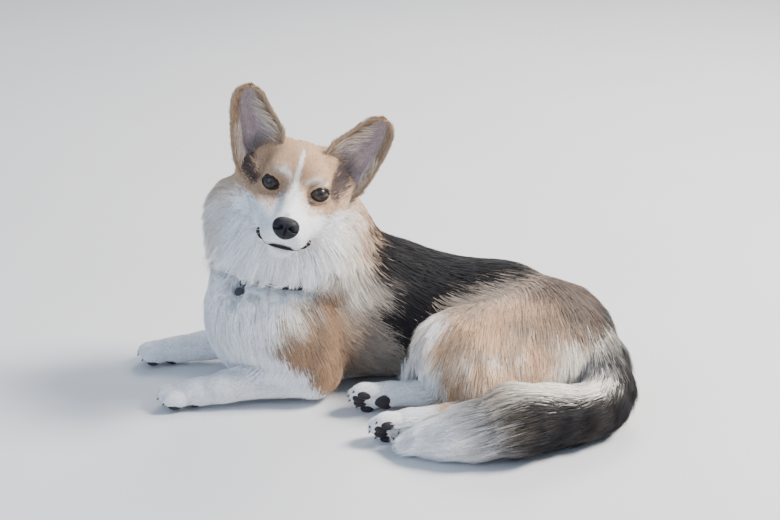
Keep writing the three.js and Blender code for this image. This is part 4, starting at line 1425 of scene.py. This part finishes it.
coatLook = {
    # the third value darkens the tufts' roots as painted shade
    "roundness": 0.55, "patch": 0.003, "rootPaintedShade": 0.9,  # how a tuft takes light and colour
    "wander": 0.2, "jitter": 0.12, "strays": 0.05,  # how unevenly the tufts lie
    "lockReach": 24, "share": 0.35,
}


def growth(partsOf, count, bends, gather, apart, blur, follows=False, hair=(0, 90)):
    return {"parts": partsOf, "count": count, "bends": bends, "gather": gather, "apart": apart, "blur": blur,
            "follows": follows, "hair": hair}


# Where each piece of the coat grows, its count, its bends, how its tips gather, how many tufts share a lock,
# and how far its colours run. Where it follows, each stop has the tint of its own place. hair limits the
# length of the tufts.
coatPieces = {
    "face": growth(["head"], 47000, 0, 0, 10, 1.2, follows=True, hair=(0, 13)),
    "cheeks": growth(["head"], 16000, 1, 0.3, 14, 2.5, hair=(13, 90)),
    "ruff": growth(["neck"], 33000, 1, 0.45, 28, 4),
    "torso": growth(["torso"], 33000, 1, 0.35, 18, 5),
    "arms": growth(["arm_left", "arm_right"], 17000, 1, 0.35, 18, 4),
    "forelegs": growth(["forearm_left", "forearm_right"], 24000, 0, 0, 12, 2),
    "forepaws": growth(["forepaw_left", "forepaw_right"], 15000, 0, 0, 12, 1.5),
    "thighs": growth(["thigh_left", "thigh_right"], 33000, 1, 0.4, 22, 5),
    "hindlegs": growth(["shank_left", "shank_right", "hindfoot_left", "hindfoot_right"], 23000, 0, 0, 12, 2.5),
    "tail": growth(["tail"], 33000, 1, 0.4, 22, 5, follows=True),
}
allPads = []
for foot in feet.values():
    allPads += [*toePads(foot), Egg(foot.at(*padSizes["soleAt"]), padSizes["sole"], foot)]


def whereHairGrows(points):  # 1 where hair grows, 0 on eyes, nose, lips, pads and under the collar
    grows = np.ones(len(points))
    for eye in eyes.values():
        f, l, u = eye.local(points).T
        l0, u0 = openingOf(np.arctan2(u / lidSizes["riseTop"], l / lidSizes["halfLength"]))
        grows[(np.hypot(l, u) < np.hypot(l0, u0) + 0.4) & (f > -4)] = 0
    grows[blended(noseForms, points, 6) < 0.6] = 0
    gap, which = lipGaps(points)
    grows[gap < lipRadii[which] * 1.3 - 0.4] = 0
    for pad in allPads:
        close = np.linalg.norm(points - pad.centre, axis=1) < 16
        if close.any():
            grows[np.nonzero(close)[0][pad.distance(points[close]) < 0.8]] = 0
    grows[collarGap(points) > 0] = 0
    return grows


skinGrows = whereHairGrows(skinPoints)


def strands(draw, root, normal, lie, look, bends):  # spines of tufts that rise and lie down
    count = len(root)
    length = look["length"] * draw.uniform(0.72, 1.18, count)
    stand = look["depth"] * draw.uniform(0.5, 1.0, count)
    stray = draw.uniform(size=count) < coatLook["strays"]
    stand = np.where(stray, look["depth"] * draw.uniform(1.0, 1.25, count), stand)
    stops = np.array(((0, 1), (0, 0.36, 1))[bends])
    rise = np.sin(np.minimum(stops / 0.62, 1) * pi / 2)
    sideways = np.cross(lie, normal) * (draw.normal(size=count) * length * 0.05)[:, None]
    sunk = np.where(stops == 0, 1.2, 0)  # the roots start a little under the skin
    spine = np.stack([
        root + lie * (length * s)[:, None] + normal * (stand * r - down)[:, None]
        + sideways * (s * (1 - s) * 4)
        for s, r, down in zip(stops, rise, sunk)
    ], 1)
    return spine, length, stand, stops


def cutAtCollar(spine, root):  # the ruff ends unevenly on the collar in front, and hangs past it elsewhere
    above, rootAbove = collar.local(spine[:, -1])[:, 2], collar.local(root)[:, 2]
    hang = -2.5 + 4 * wobble(root, 13, 31) - 4 * ramp(-root[:, 0], 112, 140)
    hang = hang + 18 * ramp(root[:, 0], -104, -84) + 50 * ramp(root[:, 1], -112, -84)
    over = (rootAbove > 6) & (above < -hang) & (root[:, 0] < -60)
    keep = np.where(over, np.clip((rootAbove + hang) / np.maximum(rootAbove - above, 1), 0.25, 1), 1)
    return mixed(spine[:, :1], spine, keep[:, None, None])


def growCoat(name, spec):
    draw = np.random.default_rng(len(name) * 7 + partNames.index(spec["parts"][0]))
    count = int(spec["count"] * (1))
    mine = skinWeights[:, [partNames.index(part) for part in spec["parts"]]].sum(1)
    corners = skinPoints[triangles]
    look = {key: value[triangles] for key, value in skinLook.items()}
    hair = look["length"].mean(1)
    shortest, longest = spec["hair"]
    share = mine[triangles].mean(1) * skinGrows[triangles].min(1) * (hair >= shortest) * (hair < longest)
    share = share / np.maximum(hair * look["width"].mean(1), 4)
    hidden = (skinNormals[triangles].mean(1)[:, 2] < -0.5) & (corners.mean(1)[:, 2] < 30)
    share = share * np.where(hidden, 0.25, 1)
    chosen, weights = scatter(draw, corners, share, count)

    def spread(values):
        return np.einsum("ij,ij...->i...", weights, values[chosen])

    root = spread(corners)
    normal = unit(spread(skinNormals[triangles]))
    look = {key: spread(value) for key, value in look.items()}
    partWeights = spread(skinWeights[triangles])
    swirl = np.stack([wobble(root, 34, seed) for seed in (21, 22, 23)], -1)
    lie = unit(spread(skinLie[triangles])) + coatLook["wander"] * swirl
    lie = lie + coatLook["jitter"] * draw.normal(size=(count, 3))
    lie = unit(lie - normal * dot(lie, normal)[:, None])
    spine, length, stand, stops = strands(draw, root, normal, lie, look, spec["bends"])
    free = look["free"] * draw.uniform(0.2, 1.6, count)
    spine = layStrands(spine, lie, stops, length, stand, free)
    owner = np.arange(count)
    if spec["gather"]:
        amount = spec["gather"] * (0.8 + 5 * look["free"])
        spine, owner = gather(draw, spine, root, length, amount, spec["apart"])
    spine = cutAtCollar(spine, root)
    spine[:, :, 2] = np.maximum(spine[:, :, 2], 2 * floorGap)
    places = [root + lie * (length * 0.4)[:, None] + normal * look["depth"][:, None]] * len(stops)
    if spec["follows"]:
        places = [spine[:, i] for i in range(len(stops))]
    astray = spec["blur"] * draw.normal(size=(count, 3))
    shade = np.exp(draw.normal(size=count) * 0.07 + draw.normal(size=count)[owner] * 0.09)[:, None]
    tints = []
    for s, place in zip(stops, places):
        if not tints or spec["follows"]:
            rootTint, tipTint = tintOf(place + astray, partWeights)
        # the roots are darkened as painted shade, fading out over the first two fifths of the tuft
        dark = coatLook["rootPaintedShade"] + (1 - coatLook["rootPaintedShade"]) * min(s * 2.5, 1)
        tints.append((rootTint * dark * (1 - s) + tipTint * s) * shade)
    tints = np.stack(tints, 1)
    widths = look["width"][:, None] * draw.uniform(0.75, 1.25, (count, 1))
    uv = np.einsum("ij,ijk->ik", weights, skinUv[triangleLoops[chosen]])
    tuftMesh("coat_" + name, spine, normal, widths, tints, uv)
    report(f"coat on the {name}, {count} tufts")


for name, spec in coatPieces.items():
    growCoat(name, spec)


# The ears' coat: short on the backs and rims, thin inside, with long hair from the front edge across the cup
def earFrame(side, s, t, back):  # a place on the ear with its normal and the way to the tip
    step = 0.004
    here = earPoint(side, s, t, back)
    inner, outer, lower, upper = (np.clip(a, 0, 1) for a in (s - step, s + step, t - step, t + step))
    across = earPoint(side, outer, t, back) - earPoint(side, inner, t, back)
    along = earPoint(side, s, upper, back) - earPoint(side, s, lower, back)
    normal = unit(np.cross(along, across)) * side
    facing = np.where(back > 0, -1.0, 1.0)
    normal = normal * (np.sign(normal @ head.f) * facing)[:, None]
    return here, normal, unit(across), unit(along)


def earGrowth(count, s, t, back, length, depth, width):  # s and t are shares of the ear, and back is 1 or -1
    return {"count": count, "s": s, "t": t, "back": back, "length": length, "depth": depth, "width": width}


earCoats = {
    "back": earGrowth(5000, (0.0, 1.0), (0.0, 0.99), 1, 9, 1.6, 1.1),
    "rimFront": earGrowth(900, (0.0, 0.06), (0, 0.97), -1, 7, 1.0, 0.9),
    "rimRear": earGrowth(1000, (0.94, 1.0), (0, 0.97), -1, 7, 1.0, 0.9),
    "tipInside": earGrowth(350, (0.05, 0.95), (0.88, 0.99), -1, 6, 1.0, 0.9),
    "inside": earGrowth(1200, (0.07, 0.93), (0.1, 0.9), -1, 7, 1.0, 0.6),
    "fan": earGrowth(200, (0.03, 0.22), (0.04, 0.66), -1, 24, 5, 0.7),
    "rearFan": earGrowth(160, (0.84, 0.97), (0.1, 0.5), -1, 14, 3, 0.7),
    "base": earGrowth(900, (0.0, 1.0), (0.06, 0.24), -1, 13, 3, 0.9),
}


def growEar(name, side):
    draw = np.random.default_rng(40 + side)
    rows = {key: [] for key in ("spine", "normals", "widths", "tints", "uv")}
    for key, spec in earCoats.items():
        count = int(spec["count"] * (1))
        s, t = draw.uniform(*spec["s"], count), draw.uniform(*spec["t"], count)
        wide = np.linalg.norm(alongCurve(earOuter, t) - alongCurve(earInner, t), axis=1)
        kept = draw.uniform(size=count) < wide / earSizes["fullWidth"] + 0.05  # fewer where the ear is narrow
        s, t, count = s[kept], t[kept], int(kept.sum())
        back = np.full(count, spec["back"] * earSizes["thickness"] / 2) * (1 - 0.5 * t)
        root, normal, across, along = earFrame(side, s, t, back)
        lie = along + across * (draw.normal(size=count) * 0.12)[:, None]
        if key == "fan":
            lie = along * 0.75 + across * draw.uniform(0.35, 1.0, count)[:, None]
        elif key == "rearFan":
            lie = along * 0.9 - across * draw.uniform(0.1, 0.5, count)[:, None]
        else:
            outward = (ramp(s, 0.85, 1.0) - ramp(1 - s, 0.85, 1.0)) * (0.35 if spec["back"] > 0 else 0.28)
            lie = lie + across * outward[:, None]
        rim = 1.3 * (ramp(s, 0.88, 1.0) - ramp(1 - s, 0.88, 1.0))[:, None]
        normal = unit(normal + across * rim + along * 0.6 * ramp(t, 0.93, 1.0)[:, None])
        lie = unit(lie - normal * dot(lie, normal)[:, None])
        look = {item: spec[item] * (1 - 0.5 * ramp(t, 0.86, 1.0)) for item in ("length", "depth")}
        spine, length, _, stops = strands(draw, root, normal, lie, look, 1)
        low, high = earTint(side, root + normal * 0.5)
        if key in ("fan", "rearFan"):
            low, high = mixed(low, colours["cream"], 0.2), mixed(high, colours["creamTip"], 0.4)
        shade = np.exp(draw.normal(size=count) * 0.08)[:, None]
        rows["tints"].append(np.stack([mixed(low, high, x) * shade for x in stops], 1))
        rows["spine"].append(spine)
        rows["normals"].append(normal)
        rows["widths"].append(spec["width"] * draw.uniform(0.7, 1.25, (count, 1)))
        halfSheet = 0.5 if spec["back"] > 0 else 0  # the back has its own half of the sheet
        rows["uv"].append(np.stack([0.02 + 0.46 * s + halfSheet, 0.02 + 0.96 * t], -1))
    tuftMesh("coat_ear_" + name, **{key: np.concatenate(each) for key, each in rows.items()})


for name, side in earSides.items():
    growEar(name, side)
report("coat on the ears")


# Floor, light and camera
studio = {
    "floorHalf": 8, "dark": (214, 214, 216), "pale": (222, 222, 224),
    "sky": (0.69, 0.82, 1.0, 1), "power": 0.58,
}


def makeFloor():
    bm = bmesh.new()
    bmesh.ops.create_grid(bm, x_segments=1, y_segments=1, size=studio["floorHalf"])
    floor = linked("floor", meshOf("floor", bm))
    made = Finish("floor", Roughness=0.8)
    made.blotched(made.noise(3, 2), studio["dark"], studio["pale"])
    floor.data.materials.append(made.material)


makeFloor()
lights = {
    "key": {"at": (2.2, -0.2, 2.2), "size": 0.9, "power": 240, "colour": (1.0, 0.95, 0.88)},
    "fill": {"at": (-1.9, -2.1, 1.7), "size": 2.2, "power": 38, "colour": (0.55, 0.74, 1.0)},
    "rim": {"at": (0.6, 2.0, 2.0), "size": 1.3, "power": 55, "colour": (1.0, 0.95, 0.88)},
}
target = Vector(toFrame((0, 0, 130)))
for name, spec in lights.items():
    lamp = bpy.data.lights.new(name, "AREA")
    lamp.size = spec["size"]
    lamp.energy = spec["power"]
    lamp.color = spec["colour"]
    lampObject = linked(name, lamp)
    lampObject.location = target + Vector(spec["at"])
    lampObject.rotation_euler = (-Vector(spec["at"])).to_track_quat("-Z", "Y").to_euler()
world = bpy.data.worlds.new("studio")
bpy.context.scene.world = world
world.use_nodes = True
sky = world.node_tree.nodes["Background"].inputs
sky["Color"].default_value, sky["Strength"].default_value = studio["sky"], studio["power"]

view = {"distance": 2.0, "pitch": radians(20), "focal": 1600, "frameWidth": 780, "sensor": 36}
cameraData = bpy.data.cameras.new("camera")
cameraData.sensor_width = view["sensor"]
cameraData.lens = view["sensor"] * view["focal"] / view["frameWidth"]
camera = linked("camera", cameraData)
camera.location = target + Vector((0, -cos(view["pitch"]), sin(view["pitch"]))) * view["distance"]
camera.rotation_euler = (pi / 2 - view["pitch"], 0, 0)
bpy.context.scene.camera = camera

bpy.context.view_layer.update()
report("scene")
